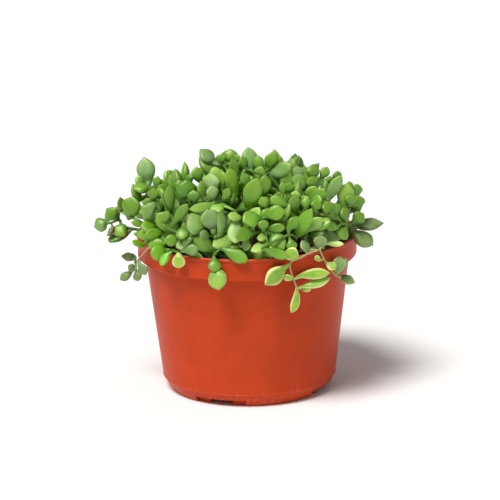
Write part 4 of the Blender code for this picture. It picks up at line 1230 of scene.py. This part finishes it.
def pot_profile():
    """The pot's section, from the floor's inside round the lip to the floor's underside."""
    band = RIM_RADIUS - LIP_PROUD
    band_inside = band - WALL
    ledge = WALL_TOP_RADIUS + EDGE
    ring_inside = FOOT_RADIUS - FOOT_RING_WIDTH
    soft, crisp = 1.6 * MM, 0.5 * MM
    return rounded((
        (0, FLOOR_UNDERSIDE + WALL, 0),
        (WALL_FOOT_RADIUS - FLOOR_CORNER, FLOOR_UNDERSIDE + WALL, soft),
        (WALL_FOOT_RADIUS - WALL, FOOT_LINE + EDGE, soft),
        (WALL_TOP_RADIUS - WALL, BAND_BOTTOM, crisp),
        (ledge - WALL, BAND_BOTTOM + WALL, crisp),
        (band_inside, BAND_BOTTOM + WALL, crisp),
        (band_inside, RIM_TOP - EDGE, crisp),
        (band_inside + EDGE, RIM_TOP, crisp),
        (RIM_RADIUS - EDGE, RIM_TOP, crisp),
        (RIM_RADIUS, RIM_TOP - EDGE, crisp),
        (RIM_RADIUS, RIM_TOP - LIP_HEIGHT + EDGE, crisp),
        (band, RIM_TOP - LIP_HEIGHT, crisp),
        (band, BAND_BOTTOM + EDGE, crisp),
        (band - EDGE, BAND_BOTTOM, crisp),
        (ledge, BAND_BOTTOM, crisp),
        (WALL_TOP_RADIUS, BAND_BOTTOM - EDGE, crisp),
        (WALL_FOOT_RADIUS, FOOT_LINE + 2 * BEAD, crisp),
        (WALL_FOOT_RADIUS + BEAD, FOOT_LINE + BEAD, crisp),
        (WALL_FOOT_RADIUS, FOOT_LINE, crisp),
        (WALL_FOOT_RADIUS - FOOT_STEP_IN, FOOT_LINE - FOOT_STEP_DOWN, soft),
        (FOOT_RADIUS + FOOT_BEVEL, FOOT_BEVEL, soft),
        (FOOT_RADIUS, 0, crisp),
        (ring_inside, 0, crisp),
        (ring_inside - EDGE, FLOOR_UNDERSIDE, crisp),
        (0, FLOOR_UNDERSIDE, 0),
    ))


def apply_modifiers(piece):
    graph = bpy.context.evaluated_depsgraph_get()
    mesh = bpy.data.meshes.new_from_object(piece.evaluated_get(graph))
    old = piece.data
    piece.modifiers.clear()
    piece.data = mesh
    bpy.data.meshes.remove(old)


def arc_block(inner, outer, bottom, top, middle, arc, cutters):
    """A cutter between two radii and two heights, over an arc round the pot's axis."""
    rings = []
    for k in range(CUT_STEPS + 1):
        turn = middle + arc * (k / CUT_STEPS - 0.5)
        near = Vector((math.sin(turn), -math.cos(turn), 0)) * inner
        far = near * (outer / inner)
        low, high = Vector((0, 0, bottom)), Vector((0, 0, top))
        rings.append([near + low, near + high, far + high, far + low])
    mesh = bpy.data.meshes.new("cutter")
    points, faces = loft(rings)
    mesh.from_pydata(points, [], faces)
    cutters.objects.link(bpy.data.objects.new("cutter", mesh))


def cut_notches(piece):
    """Cuts the foot ring's notches and the drain openings behind them."""
    cutters = bpy.data.collections.new("cutters")
    inside = FOOT_RADIUS - FOOT_RING_WIDTH - GATE_INSIDE
    beyond = WALL_FOOT_RADIUS + NOTCH_BEYOND
    floor = (FLOOR_UNDERSIDE - MM, FLOOR_UNDERSIDE + WALL + MM)
    for k in range(NOTCH_COUNT):
        turn = NOTCH_FIRST + 2 * math.pi * k / NOTCH_COUNT
        recess = FOOT_RADIUS - NOTCH_DEPTH
        arc_block(recess, beyond, -MM, NOTCH_HEIGHT, turn, NOTCH_ARC, cutters)
        arc_block(inside, beyond, -MM, NOTCH_HEIGHT, turn, NOTCH_GATE_ARC, cutters)
        arc_block(DRAIN_INNER, DRAIN_OUTER, *floor, turn, DRAIN_ARC, cutters)
    modifier = piece.modifiers.new("notches", "BOOLEAN")
    modifier.operand_type = "COLLECTION"
    modifier.collection = cutters
    modifier.operation = "DIFFERENCE"
    apply_modifiers(piece)
    for cutter in list(cutters.objects):
        bpy.data.objects.remove(cutter)
    bpy.data.collections.remove(cutters)


def make_pot(looks):
    line = pot_profile()
    edges = [(k, k + 1) for k in range(len(line) - 1)]
    mesh = bpy.data.meshes.new("pot_shell")
    mesh.from_pydata([(point.x, 0, point.y) for point in line], edges, [])
    piece = bpy.data.objects.new("pot_shell", mesh)
    bpy.context.scene.collection.objects.link(piece)
    screw = piece.modifiers.new("turn", "SCREW")
    screw.steps = screw.render_steps = looks.pot_steps
    screw.use_merge_vertices = True
    screw.merge_threshold = WELD
    apply_modifiers(piece)
    cut_notches(piece)
    piece.data.materials.clear()
    piece.data.materials.append(pot_plastic(looks))
    piece.data.shade_smooth()
    piece.data.set_sharp_from_angle(angle=math.radians(38))
    piece.data.transform(Matrix.Translation(POT_PLACE))
    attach(piece, "root")
    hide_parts("pot")


def soil_height(x, y):
    """The lumpy soil's height at a place."""
    reach = math.hypot(x, y)
    spot = Vector((x, y, soil_top(reach)))
    lumps = SOIL_LUMP * noise.noise(spot / SOIL_LUMP_SIZE)
    for size, rise in SOIL_LAYERS:
        lumps += rise * noise.noise(spot / size)
    return spot.z + lumps


def soil_rings():
    """Rings of the soil's skin: its lumpy top, its side by the pot's wall and its floor."""
    band = RIM_RADIUS - LIP_PROUD - WALL - GAP
    ledge = WALL_TOP_RADIUS + EDGE - WALL - GAP
    floor = FLOOR_UNDERSIDE + WALL + GAP
    turns = [2 * math.pi * i / SOIL_ROUND for i in range(SOIL_ROUND)]
    rings = []
    for k in range(1, SOIL_FINE_RINGS + 1):
        reach = band * k / SOIL_FINE_RINGS
        spots = [(reach * math.cos(turn), reach * math.sin(turn)) for turn in turns]
        rings.append([Vector((x, y, soil_height(x, y))) for x, y in spots])
    for reach, z in (
        (band, BAND_BOTTOM + WALL + GAP),
        (ledge, BAND_BOTTOM + WALL + GAP),
        (WALL_TOP_RADIUS - WALL - GAP, BAND_BOTTOM),
        (WALL_FOOT_RADIUS - WALL - GAP, FOOT_LINE + 2 * EDGE),
        (WALL_FOOT_RADIUS - FLOOR_CORNER - EDGE, floor),
    ):
        rings.append([Vector((reach * math.cos(a), reach * math.sin(a), z)) for a in turns])
    return rings, floor


def crumb_shape():
    """Points and faces of a rough crumb of unit size."""
    model = bmesh.new()
    bmesh.ops.create_icosphere(model, subdivisions=1, radius=1)
    points = [vertex.co.copy() for vertex in model.verts]
    faces = [tuple(vertex.index for vertex in face.verts) for face in model.faces]
    model.free()
    return points, faces


def add_crumbs(skin, draw):
    """Strews crumbs of peat over the soil."""
    shape, faces = crumb_shape()
    most = RIM_RADIUS - LIP_PROUD - WALL - 2 * MM
    for k in range(CRUMBS):
        reach = most * math.sqrt(draw.random())
        turn = draw.uniform(0, 2 * math.pi)
        x, y = reach * math.cos(turn), reach * math.sin(turn)
        size = CRUMB_SIZES[0] + (CRUMB_SIZES[1] - CRUMB_SIZES[0]) * draw.random() ** 2
        place = Vector((x, y, soil_height(x, y) + size * 0.2))
        spin = Euler([draw.uniform(0, math.pi) for axis in range(3)]).to_matrix()
        flat = draw.uniform(0.55, 0.9)
        points = [
            place + spin @ Vector((p.x, p.y, p.z * flat)) * size * draw.uniform(0.75, 1.15)
            for p in shape
        ]
        shade = draw.uniform(0.5, 1.9)
        tint = tuple(channel * shade for channel in SOIL_TINT)
        skin.add(points, faces, 0, (*tint, 0.0), [(0.0, 0.0, 0.0)] * len(points), (1.0, 0.0, 0.0))


def add_fibres(skin, draw):
    """Strews pale root and bark fibres over the soil."""
    most = RIM_RADIUS - LIP_PROUD - WALL - 6 * MM
    for k in range(FIBRES):
        reach = most * math.sqrt(draw.random())
        turn = draw.uniform(0, 2 * math.pi)
        heading = draw.uniform(0, 2 * math.pi)
        bend = draw.uniform(-0.5, 0.5)
        length = draw.uniform(*FIBRE_LENGTHS)
        x, y = reach * math.cos(turn), reach * math.sin(turn)
        rings = []
        for step in range(5):
            point = Vector((x, y, soil_height(x, y) + FIBRE_WIDTH * 0.6))
            side = Vector((-math.sin(heading), math.cos(heading), 0)) * FIBRE_WIDTH
            rings.append([point + side, point + Vector((0, 0, FIBRE_WIDTH)), point - side])
            x += math.cos(heading) * length / 5
            y += math.sin(heading) * length / 5
            heading += bend
        points, faces = loft(rings)
        shade = draw.uniform(0.5, 1.3)
        tint = tuple(channel * shade for channel in FIBRE_TINT)
        skin.add(points, faces, 0, (*tint, 0.0), [(0.0, 0.0, 0.0)] * len(points), (1.0, 0.0, 0.0))


def make_soil(looks):
    draw = random.Random(SEED)
    rings, floor = soil_rings()
    skin = Skin()
    top = Vector((0, 0, soil_height(0, 0)))
    points, faces = loft(rings, top, Vector((0, 0, floor)))
    faces = [tuple(reversed(face)) for face in faces]
    skin.add(points, faces, 0, (*looks.soil_colour, 0.0), [(0.0, 0.0, 0.0)] * len(points), (0.0, 0.0, 0.0))
    add_crumbs(skin, draw)
    add_fibres(skin, draw)
    piece = new_piece("peat_soil", skin.mesh("peat_soil", [peat(looks)]))
    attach(piece, "root")
    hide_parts("soil")


class Graph:
    """Adds nodes to a material or a node group, and links them."""

    def __init__(self, tree):
        self.tree = tree

    def feed(self, socket, value):
        if isinstance(value, bpy.types.NodeSocket):
            self.tree.links.new(value, socket)
        elif isinstance(value, (tuple, list)) and len(value) == 3 and socket.type == "RGBA":
            socket.default_value = (*value, 1)
        else:
            socket.default_value = value

    def node(self, kind, settings=(), inputs=()):
        made = self.tree.nodes.new(kind)
        for key, value in dict(settings).items():
            setattr(made, key, value)
        for key, value in dict(inputs).items():
            self.feed(made.inputs[key], value)
        return made

    def maths(self, operation, first, second=0.0):
        made = self.node("ShaderNodeMath", {"operation": operation}, {0: first, 1: second})
        return made.outputs[0]

    def mix(self, share, first, second, blend="MIX"):
        settings = {"data_type": "RGBA", "blend_type": blend}
        made = self.node("ShaderNodeMix", settings, {0: share, 6: first, 7: second})
        return made.outputs[2]

    def ramp(self, value, low, high, start=0.0, end=1.0):
        """A soft step from start to end as the value goes from low to high."""
        inputs = {"Value": value, "From Min": low, "From Max": high, "To Min": start, "To Max": end}
        made = self.node("ShaderNodeMapRange", {"interpolation_type": "SMOOTHSTEP"}, inputs)
        return made.outputs["Result"]

    def noise(self, place, scale, detail=2.0, rough=0.5):
        inputs = {"Vector": place, "Scale": scale, "Detail": detail, "Roughness": rough}
        return self.node("ShaderNodeTexNoise", (), inputs).outputs["Fac"]

    def parts(self, vector):
        return self.node("ShaderNodeSeparateXYZ", (), {0: vector}).outputs

    def place(self):
        return self.node("ShaderNodeTexCoord").outputs["Object"]

    def layer(self, name):
        return self.node("ShaderNodeAttribute", {"attribute_name": name}).outputs


def new_group(name, inputs, outputs):
    """A shader node group with these sockets, and a graph to fill it with."""
    tree = bpy.data.node_groups.new(name, "ShaderNodeTree")
    for side, sockets in (("INPUT", inputs), ("OUTPUT", outputs)):
        for label, kind in sockets:
            tree.interface.new_socket(label, in_out=side, socket_type="NodeSocket" + kind)
    graph = Graph(tree)
    return graph, graph.node("NodeGroupInput").outputs, graph.node("NodeGroupOutput").inputs


def grain_group():
    """Grain: two sizes of fine noise, as a colour share and as a height."""
    name = "Grain"
    if name in bpy.data.node_groups:
        return bpy.data.node_groups[name]
    inputs = (("Place", "Vector"), ("Coarse", "Float"), ("Fine", "Float"))
    outputs = (("Share", "Float"), ("Height", "Float"))
    graph, given, out = new_group(name, inputs, outputs)
    coarse = graph.noise(given["Place"], given["Coarse"], 3.0)
    fine = graph.noise(given["Place"], given["Fine"], 4.0, 0.6)
    graph.feed(out["Share"], graph.ramp(coarse, 0.3, 0.7))
    both = graph.maths("ADD", graph.maths("MULTIPLY", coarse, 0.6), fine)
    graph.feed(out["Height"], both)
    return graph.tree


def flesh_group():
    """Leaf flesh: tint, mottling, powdery bloom, margin, back and tip of a leaf, with painted shade at older
    leaves' bases, painted light on the upper face towards the tip and a painted light rim in green leaves'
    margins.
    """
    name = "Leaf flesh"
    if name in bpy.data.node_groups:
        return bpy.data.node_groups[name]
    inputs = (
        ("Tint", "Color"), ("Purple", "Float"), ("Leaf place", "Vector"), ("Mood", "Vector"),
        ("Place", "Vector"), ("Margin colour", "Color"), ("Tip colour", "Color"),
        ("Bloom colour", "Color"),
    )
    outputs = (("Colour", "Color"), ("Roughness", "Float"), ("Height", "Float"))
    graph, given, out = new_group(name, inputs, outputs)
    along, rim, up = graph.parts(given["Leaf place"])
    tone, bloom, cream = graph.parts(given["Mood"])
    mottle = graph.noise(given["Place"], 330.0, 3.0)
    speckle = graph.noise(given["Place"], 1500.0, 2.0)
    dark = graph.mix(1.0, given["Tint"], (0.78, 0.86, 0.72), "MULTIPLY")
    colour = graph.mix(graph.ramp(mottle, 0.35, 0.65), dark, given["Tint"])
    light = graph.mix(1.0, given["Tint"], (1.45, 1.22, 1.25), "MULTIPLY")
    # Painted shade: older leaves darken towards their base, where they crowd together; young leaves are paler
    # there, which is their own colour.
    deep = graph.mix(1.0, given["Tint"], (0.46, 0.62, 0.36), "MULTIPLY")
    base = graph.mix(graph.ramp(cream, 0.5, 0.8), deep, light)
    colour = graph.mix(graph.ramp(along, 0.02, 0.55, 0.75, 0.0), colour, base)
    # Painted light: the upper face of a leaf is lighter towards its tip.
    glow = graph.maths("MULTIPLY", graph.ramp(along, 0.35, 0.95, 0.0, 0.60), graph.ramp(up, -0.1, 0.9))
    colour = graph.mix(glow, colour, light)
    dusty = graph.noise(given["Place"], 120.0, 3.0)
    powder = graph.maths("MULTIPLY", graph.ramp(dusty, 0.30, 0.62), bloom)
    colour = graph.mix(graph.maths("MULTIPLY", powder, 0.42), colour, given["Bloom colour"])
    back = graph.ramp(up, 0.1, -0.5)
    colour = graph.mix(graph.maths("MULTIPLY", back, 0.25), colour, graph.mix(1.0, colour, (0.72, 0.78, 0.80), "MULTIPLY"))
    blush = graph.maths("MULTIPLY", graph.maths("MULTIPLY", back, given["Purple"]), graph.ramp(mottle, 0.3, 0.5))
    colour = graph.mix(blush, colour, given["Tip colour"])
    # The margin: on young leaves a cream edge, their own colour; on green leaves a thin pale edge, a painted light
    # rim.
    inner = graph.maths("SUBTRACT", 0.90, graph.maths("MULTIPLY", cream, 0.40))
    outer = graph.maths("ADD", inner, graph.maths("ADD", graph.maths("MULTIPLY", cream, 0.30), 0.12))
    edge = graph.maths("MULTIPLY", graph.ramp(rim, inner, outer), cream)
    colour = graph.mix(edge, colour, given["Margin colour"])
    tip = graph.maths("MULTIPLY", graph.ramp(along, 0.955, 1.0), graph.ramp(tone, 0.3, 0.75))
    colour = graph.mix(graph.maths("MULTIPLY", tip, 0.75), colour, given["Tip colour"])
    graph.feed(out["Colour"], colour)
    rough = graph.maths("ADD", graph.ramp(mottle, 0.3, 0.7, 0.36, 0.44), graph.maths("MULTIPLY", powder, 0.20))
    graph.feed(out["Roughness"], rough)
    graph.feed(out["Height"], graph.maths("ADD", mottle, graph.maths("MULTIPLY", speckle, 0.22)))
    return graph.tree


def new_material(name):
    material = bpy.data.materials.new(name)
    material.use_nodes = True
    tree = material.node_tree
    return material, Graph(tree), tree.nodes["Principled BSDF"].inputs


def bump(graph, shader, height, strength, depth):
    inputs = {"Height": height, "Strength": strength, "Distance": depth}
    graph.feed(shader["Normal"], graph.node("ShaderNodeBump", (), inputs).outputs["Normal"])


def leaf_skin(looks):
    """Fleshy leaf skin: waxy, a little translucent, each leaf in its own tint."""
    material, graph, shader = new_material("leaf_skin")
    tint = graph.layer("tint")
    inputs = {
        "Tint": tint["Color"], "Purple": tint["Alpha"],
        "Leaf place": graph.layer("place")["Vector"], "Mood": graph.layer("mood")["Vector"],
        "Place": graph.place(), "Margin colour": tuple(looks.margin_colour),
        "Tip colour": tuple(looks.tip_colour), "Bloom colour": tuple(looks.bloom_colour),
    }
    flesh = graph.node("ShaderNodeGroup", {"node_tree": flesh_group()}, inputs).outputs
    graph.feed(shader["Base Color"], flesh["Colour"])
    graph.feed(shader["Roughness"], flesh["Roughness"])
    bump(graph, shader, flesh["Height"], 0.30, 0.35 * MM)
    shader["Subsurface Weight"].default_value = looks.leaf_glow
    shader["Subsurface Radius"].default_value = (0.5, 1.0, 0.2)
    shader["Subsurface Scale"].default_value = 1.6 * MM
    shader["Specular IOR Level"].default_value = 0.9
    shader["Specular Tint"].default_value = (0.86, 1.0, 0.62, 1)
    return material


def stem_bark(looks):
    """Stem skin: corky and brown by the soil, green and smooth towards the tip."""
    material, graph, shader = new_material("stem_bark")
    share, length, turn = graph.parts(graph.layer("place")["Vector"])
    young = graph.parts(graph.layer("mood")["Vector"])[2]
    grain = graph.node("ShaderNodeGroup", {"node_tree": grain_group()}, {
        "Place": graph.place(), "Coarse": 420.0, "Fine": 2600.0,
    }).outputs
    old = graph.mix(grain["Share"], tuple(looks.bark_colour), (0.30, 0.21, 0.12))
    old = graph.mix(young, old, (0.50, 0.42, 0.20))
    colour = graph.mix(graph.ramp(share, 0.25, 0.85), old, graph.layer("tint")["Color"])
    graph.feed(shader["Base Color"], colour)
    graph.feed(shader["Roughness"], graph.ramp(share, 0.2, 0.9, 0.75, 0.42))
    scars = graph.maths("SINE", graph.maths("MULTIPLY", length, 2 * math.pi / (2.4 * MM)))
    height = graph.maths("ADD", grain["Height"], graph.ramp(scars, 0.75, 1.0, 0.0, 0.8))
    bump(graph, shader, height, 0.5, 0.3 * MM)
    return material


def pot_plastic(looks):
    """Moulded terracotta-coloured plastic: satin, faintly grained, dusty by the soil and foot, with a painted
    highlight along the top of the lip.
    """
    material, graph, shader = new_material("pot_plastic_fine")
    place = graph.place()
    height = graph.parts(place)[2]
    grain = graph.node("ShaderNodeGroup", {"node_tree": grain_group()}, {
        "Place": place, "Coarse": 55.0, "Fine": 2200.0,
    }).outputs
    base = tuple(looks.pot_colour)
    deep = tuple(channel * 0.90 for channel in base)
    colour = graph.mix(grain["Share"], deep, base)
    streaks = graph.node("ShaderNodeMapping", {"vector_type": "POINT"}, {
        "Vector": place, "Scale": (420.0, 420.0, 16.0),
    }).outputs[0]
    scuffs = graph.noise(streaks, 1.0, 2.0)
    low = graph.ramp(height, 16 * MM, 2 * MM, 0.0, 0.5)
    high = graph.ramp(height, RIM_TOP - 5 * MM, RIM_TOP, 0.0, 0.25)
    dust = graph.maths("MULTIPLY", graph.maths("ADD", low, high), graph.ramp(scuffs, 0.48, 0.72))
    colour = graph.mix(graph.maths("MULTIPLY", dust, 0.5), colour, tuple(looks.dust_colour))
    # Painted highlight: a lighter band along the top of the lip.
    lip = graph.ramp(height, RIM_TOP - 1.1 * MM, RIM_TOP - 0.2 * MM, 0.0, 0.35)
    colour = graph.mix(lip, colour, tuple(looks.lip_highlight_colour))
    graph.feed(shader["Base Color"], colour)
    satin = graph.ramp(grain["Share"], 0.0, 1.0, looks.pot_roughness - 0.03, looks.pot_roughness + 0.03)
    graph.feed(shader["Roughness"], graph.maths("ADD", satin, graph.maths("MULTIPLY", dust, 0.3)))
    bump(graph, shader, grain["Height"], 0.10, 0.12 * MM)
    shader["Specular IOR Level"].default_value = 0.08
    return material


def peat(looks):
    """Dark peat: crumbly and matt, with crumbs and fibres in tints of their own."""
    material, graph, shader = new_material("peat")
    tint = graph.layer("tint")["Color"]
    place = graph.place()
    grain = graph.node("ShaderNodeGroup", {"node_tree": grain_group()}, {
        "Place": place, "Coarse": 260.0, "Fine": 1400.0,
    }).outputs
    dark = graph.mix(1.0, tint, (0.45, 0.42, 0.40), "MULTIPLY")
    graph.feed(shader["Base Color"], graph.mix(grain["Share"], dark, tint))
    graph.feed(shader["Roughness"], graph.ramp(grain["Share"], 0.0, 1.0, 0.98, 0.86))
    bump(graph, shader, grain["Height"], 0.9, 0.6 * MM)
    shader["Specular IOR Level"].default_value = 0.2
    return material


def far_light(name, height, turn, softness, power, colour):
    """A distant softbox: how high it stands, how far round from the camera, and how wide."""
    data = bpy.data.lights.new(name, "SUN")
    data.angle = softness
    data.energy = power
    data.color = colour
    light = bpy.data.objects.new(name, data)
    light.rotation_euler = (math.pi / 2 - height, 0, turn)
    bpy.context.scene.collection.objects.link(light)


def make_camera():
    """The camera that the photo's view of the rim, the band and the foot was fitted by."""
    data = bpy.data.cameras.new("photo_camera")
    data.sensor_width = SENSOR
    data.lens = VIEW_SCALE * SENSOR / FRAME_WIDTH
    data.clip_end = 20
    camera = bpy.data.objects.new("photo_camera", data)
    turn = Euler((math.pi / 2 - EYE_PITCH, 0, -EYE_YAW)).to_matrix()
    turn = turn @ Matrix.Rotation(EYE_ROLL, 3, "Z")
    camera.matrix_world = Matrix.Translation(EYE + POT_PLACE) @ turn.to_4x4()
    bpy.context.scene.collection.objects.link(camera)
    bpy.context.scene.camera = camera


def make_floor(looks):
    bpy.ops.mesh.primitive_plane_add(size=FLOOR_SIZE, location=(0, 0, -FLOOR_DROP))
    floor = bpy.context.object
    floor.name = "floor"
    material, graph, shader = new_material("floor_white")
    paper = graph.noise(graph.place(), 40.0, 2.0)
    white = tuple(looks.floor_colour)
    graph.feed(shader["Base Color"], graph.mix(graph.ramp(paper, 0.3, 0.7), white, tuple(c * 0.99 for c in white)))
    shader["Roughness"].default_value = 0.9
    shader["Specular IOR Level"].default_value = 0.1
    floor.data.materials.append(material)
    floor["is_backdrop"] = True


class CotyledonLooks(bpy.types.PropertyGroup):
    """Sizes and colours that a user may change before making the pieces."""

    pot_colour: FloatVectorProperty(
        name="Pot", description="Colour of the pot's plastic", subtype="COLOR",
        default=(0.54, 0.057, 0.014), min=0, max=1,
    )
    pot_roughness: FloatProperty(
        name="Pot roughness", description="How satin the plastic is", default=0.40, min=0, max=1,
    )
    pot_steps: IntProperty(
        name="Pot steps", description="Facets round the pot", default=POT_ROUND, min=32,
    )
    dust_colour: FloatVectorProperty(
        name="Dust", description="Colour of dry soil dust on the pot", subtype="COLOR",
        default=(0.55, 0.30, 0.20), min=0, max=1,
    )
    # Colour of the painted highlight along the top of the lip.
    lip_highlight_colour: FloatVectorProperty(
        name="Lip", description="Colour of the rubbed top of the lip", subtype="COLOR",
        default=(0.80, 0.20, 0.12), min=0, max=1,
    )
    soil_colour: FloatVectorProperty(
        name="Soil", description="Colour of the peat", subtype="COLOR",
        default=SOIL_TINT, min=0, max=1,
    )
    bark_colour: FloatVectorProperty(
        name="Bark", description="Colour of the oldest stems", subtype="COLOR",
        default=(0.16, 0.10, 0.055), min=0, max=1,
    )
    # On green leaves the pale margin is a painted light rim.
    margin_colour: FloatVectorProperty(
        name="Leaf margin", description="Colour of a young leaf's margin", subtype="COLOR",
        default=(0.80, 0.75, 0.34), min=0, max=1,
    )
    tip_colour: FloatVectorProperty(
        name="Leaf tip", description="Colour of a leaf's hard tip point", subtype="COLOR",
        default=(0.15, 0.055, 0.045), min=0, max=1,
    )
    bloom_colour: FloatVectorProperty(
        name="Leaf bloom", description="Colour of the powdery bloom", subtype="COLOR",
        default=(0.36, 0.50, 0.33), min=0, max=1,
    )
    leaf_glow: FloatProperty(
        name="Leaf glow", description="Share of light that passes under the leaf's skin",
        default=0.25, min=0, max=1,
    )


class StageLooks(bpy.types.PropertyGroup):
    """Floor, sky and lights of the stage."""

    floor_colour: FloatVectorProperty(
        name="Floor", description="Colour of the floor", subtype="COLOR",
        default=(0.90, 0.90, 0.90), min=0, max=1,
    )
    sky: FloatProperty(
        name="Sky", description="Strength of the even white light", default=0.30, min=0,
    )
    key: FloatProperty(
        name="Key", description="Strength of the main light", default=3.3, min=0,
    )
    fill: FloatProperty(
        name="Fill", description="Strength of the light from the right", default=0.06, min=0,
    )


class COTYLEDON_OT_pot(bpy.types.Operator):
    """Makes the plastic pot"""

    bl_idname = "cotyledon.pot"
    bl_label = "Pot"

    def execute(self, context):
        make_pot(context.scene.cotyledon)
        return {"FINISHED"}


class COTYLEDON_OT_soil(bpy.types.Operator):
    """Makes the soil with its crumbs and fibres"""

    bl_idname = "cotyledon.soil"
    bl_label = "Soil"

    def execute(self, context):
        make_soil(context.scene.cotyledon)
        return {"FINISHED"}


class COTYLEDON_OT_leafy_stems(bpy.types.Operator):
    """Makes every leafy stem and trailing shoot"""

    bl_idname = "cotyledon.leafy_stems"
    bl_label = "Leafy stems"

    def execute(self, context):
        looks = context.scene.cotyledon
        materials = [leaf_skin(looks), stem_bark(looks)]
        for name, (radius, points, leaves) in grow().items():
            leafy_stem(name, radius, points, leaves + late_leaves(name), materials)
        return {"FINISHED"}


class COTYLEDON_OT_stage(bpy.types.Operator):
    """Makes the floor, the lights and the camera"""

    bl_idname = "cotyledon.stage"
    bl_label = "Stage"

    def execute(self, context):
        looks = context.scene.cotyledon_stage
        make_camera()
        make_floor(looks)
        far_light("key", *KEY_PLACE, looks.key, (1.0, 0.985, 0.96))
        far_light("fill", *FILL_PLACE, looks.fill, (0.96, 0.98, 1.0))
        world = bpy.data.worlds.new("white_sky")
        world.use_nodes = True
        sky = world.node_tree.nodes["Background"].inputs
        sky["Color"].default_value = (1, 1, 1, 1)
        sky["Strength"].default_value = looks.sky
        context.scene.world = world
        context.scene.view_settings.view_transform = "Standard"
        return {"FINISHED"}


class COTYLEDON_PT_panel(bpy.types.Panel):
    """Lists the pieces"""

    bl_label = "Potted cotyledon"
    bl_idname = "COTYLEDON_PT_panel"
    bl_space_type = "VIEW_3D"
    bl_region_type = "UI"
    bl_category = "Cotyledon"

    def draw(self, context):
        for looks in (context.scene.cotyledon, context.scene.cotyledon_stage):
            for name in looks.bl_rna.properties.keys()[2:]:
                self.layout.prop(looks, name)
        for operator in OPERATORS:
            self.layout.operator(operator.bl_idname)


OPERATORS = (COTYLEDON_OT_pot, COTYLEDON_OT_soil, COTYLEDON_OT_leafy_stems, COTYLEDON_OT_stage)
CLASSES = (CotyledonLooks, StageLooks, *OPERATORS, COTYLEDON_PT_panel)


def register():
    for kind in CLASSES:
        bpy.utils.register_class(kind)
    bpy.types.Scene.cotyledon = PointerProperty(type=CotyledonLooks)
    bpy.types.Scene.cotyledon_stage = PointerProperty(type=StageLooks)


def unregister():
    del bpy.types.Scene.cotyledon_stage
    del bpy.types.Scene.cotyledon
    for kind in reversed(CLASSES):
        bpy.utils.unregister_class(kind)


def main():
    register()
    bpy.ops.cotyledon.pot()
    bpy.ops.cotyledon.soil()
    bpy.ops.cotyledon.leafy_stems()
    bpy.ops.cotyledon.stage()
    boxes = {"cad": CAD_BOX, "visual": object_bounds()}
    plain = {name: [list(corner) for corner in box] for name, box in boxes.items()}


if __name__ == "__main__":
    main()
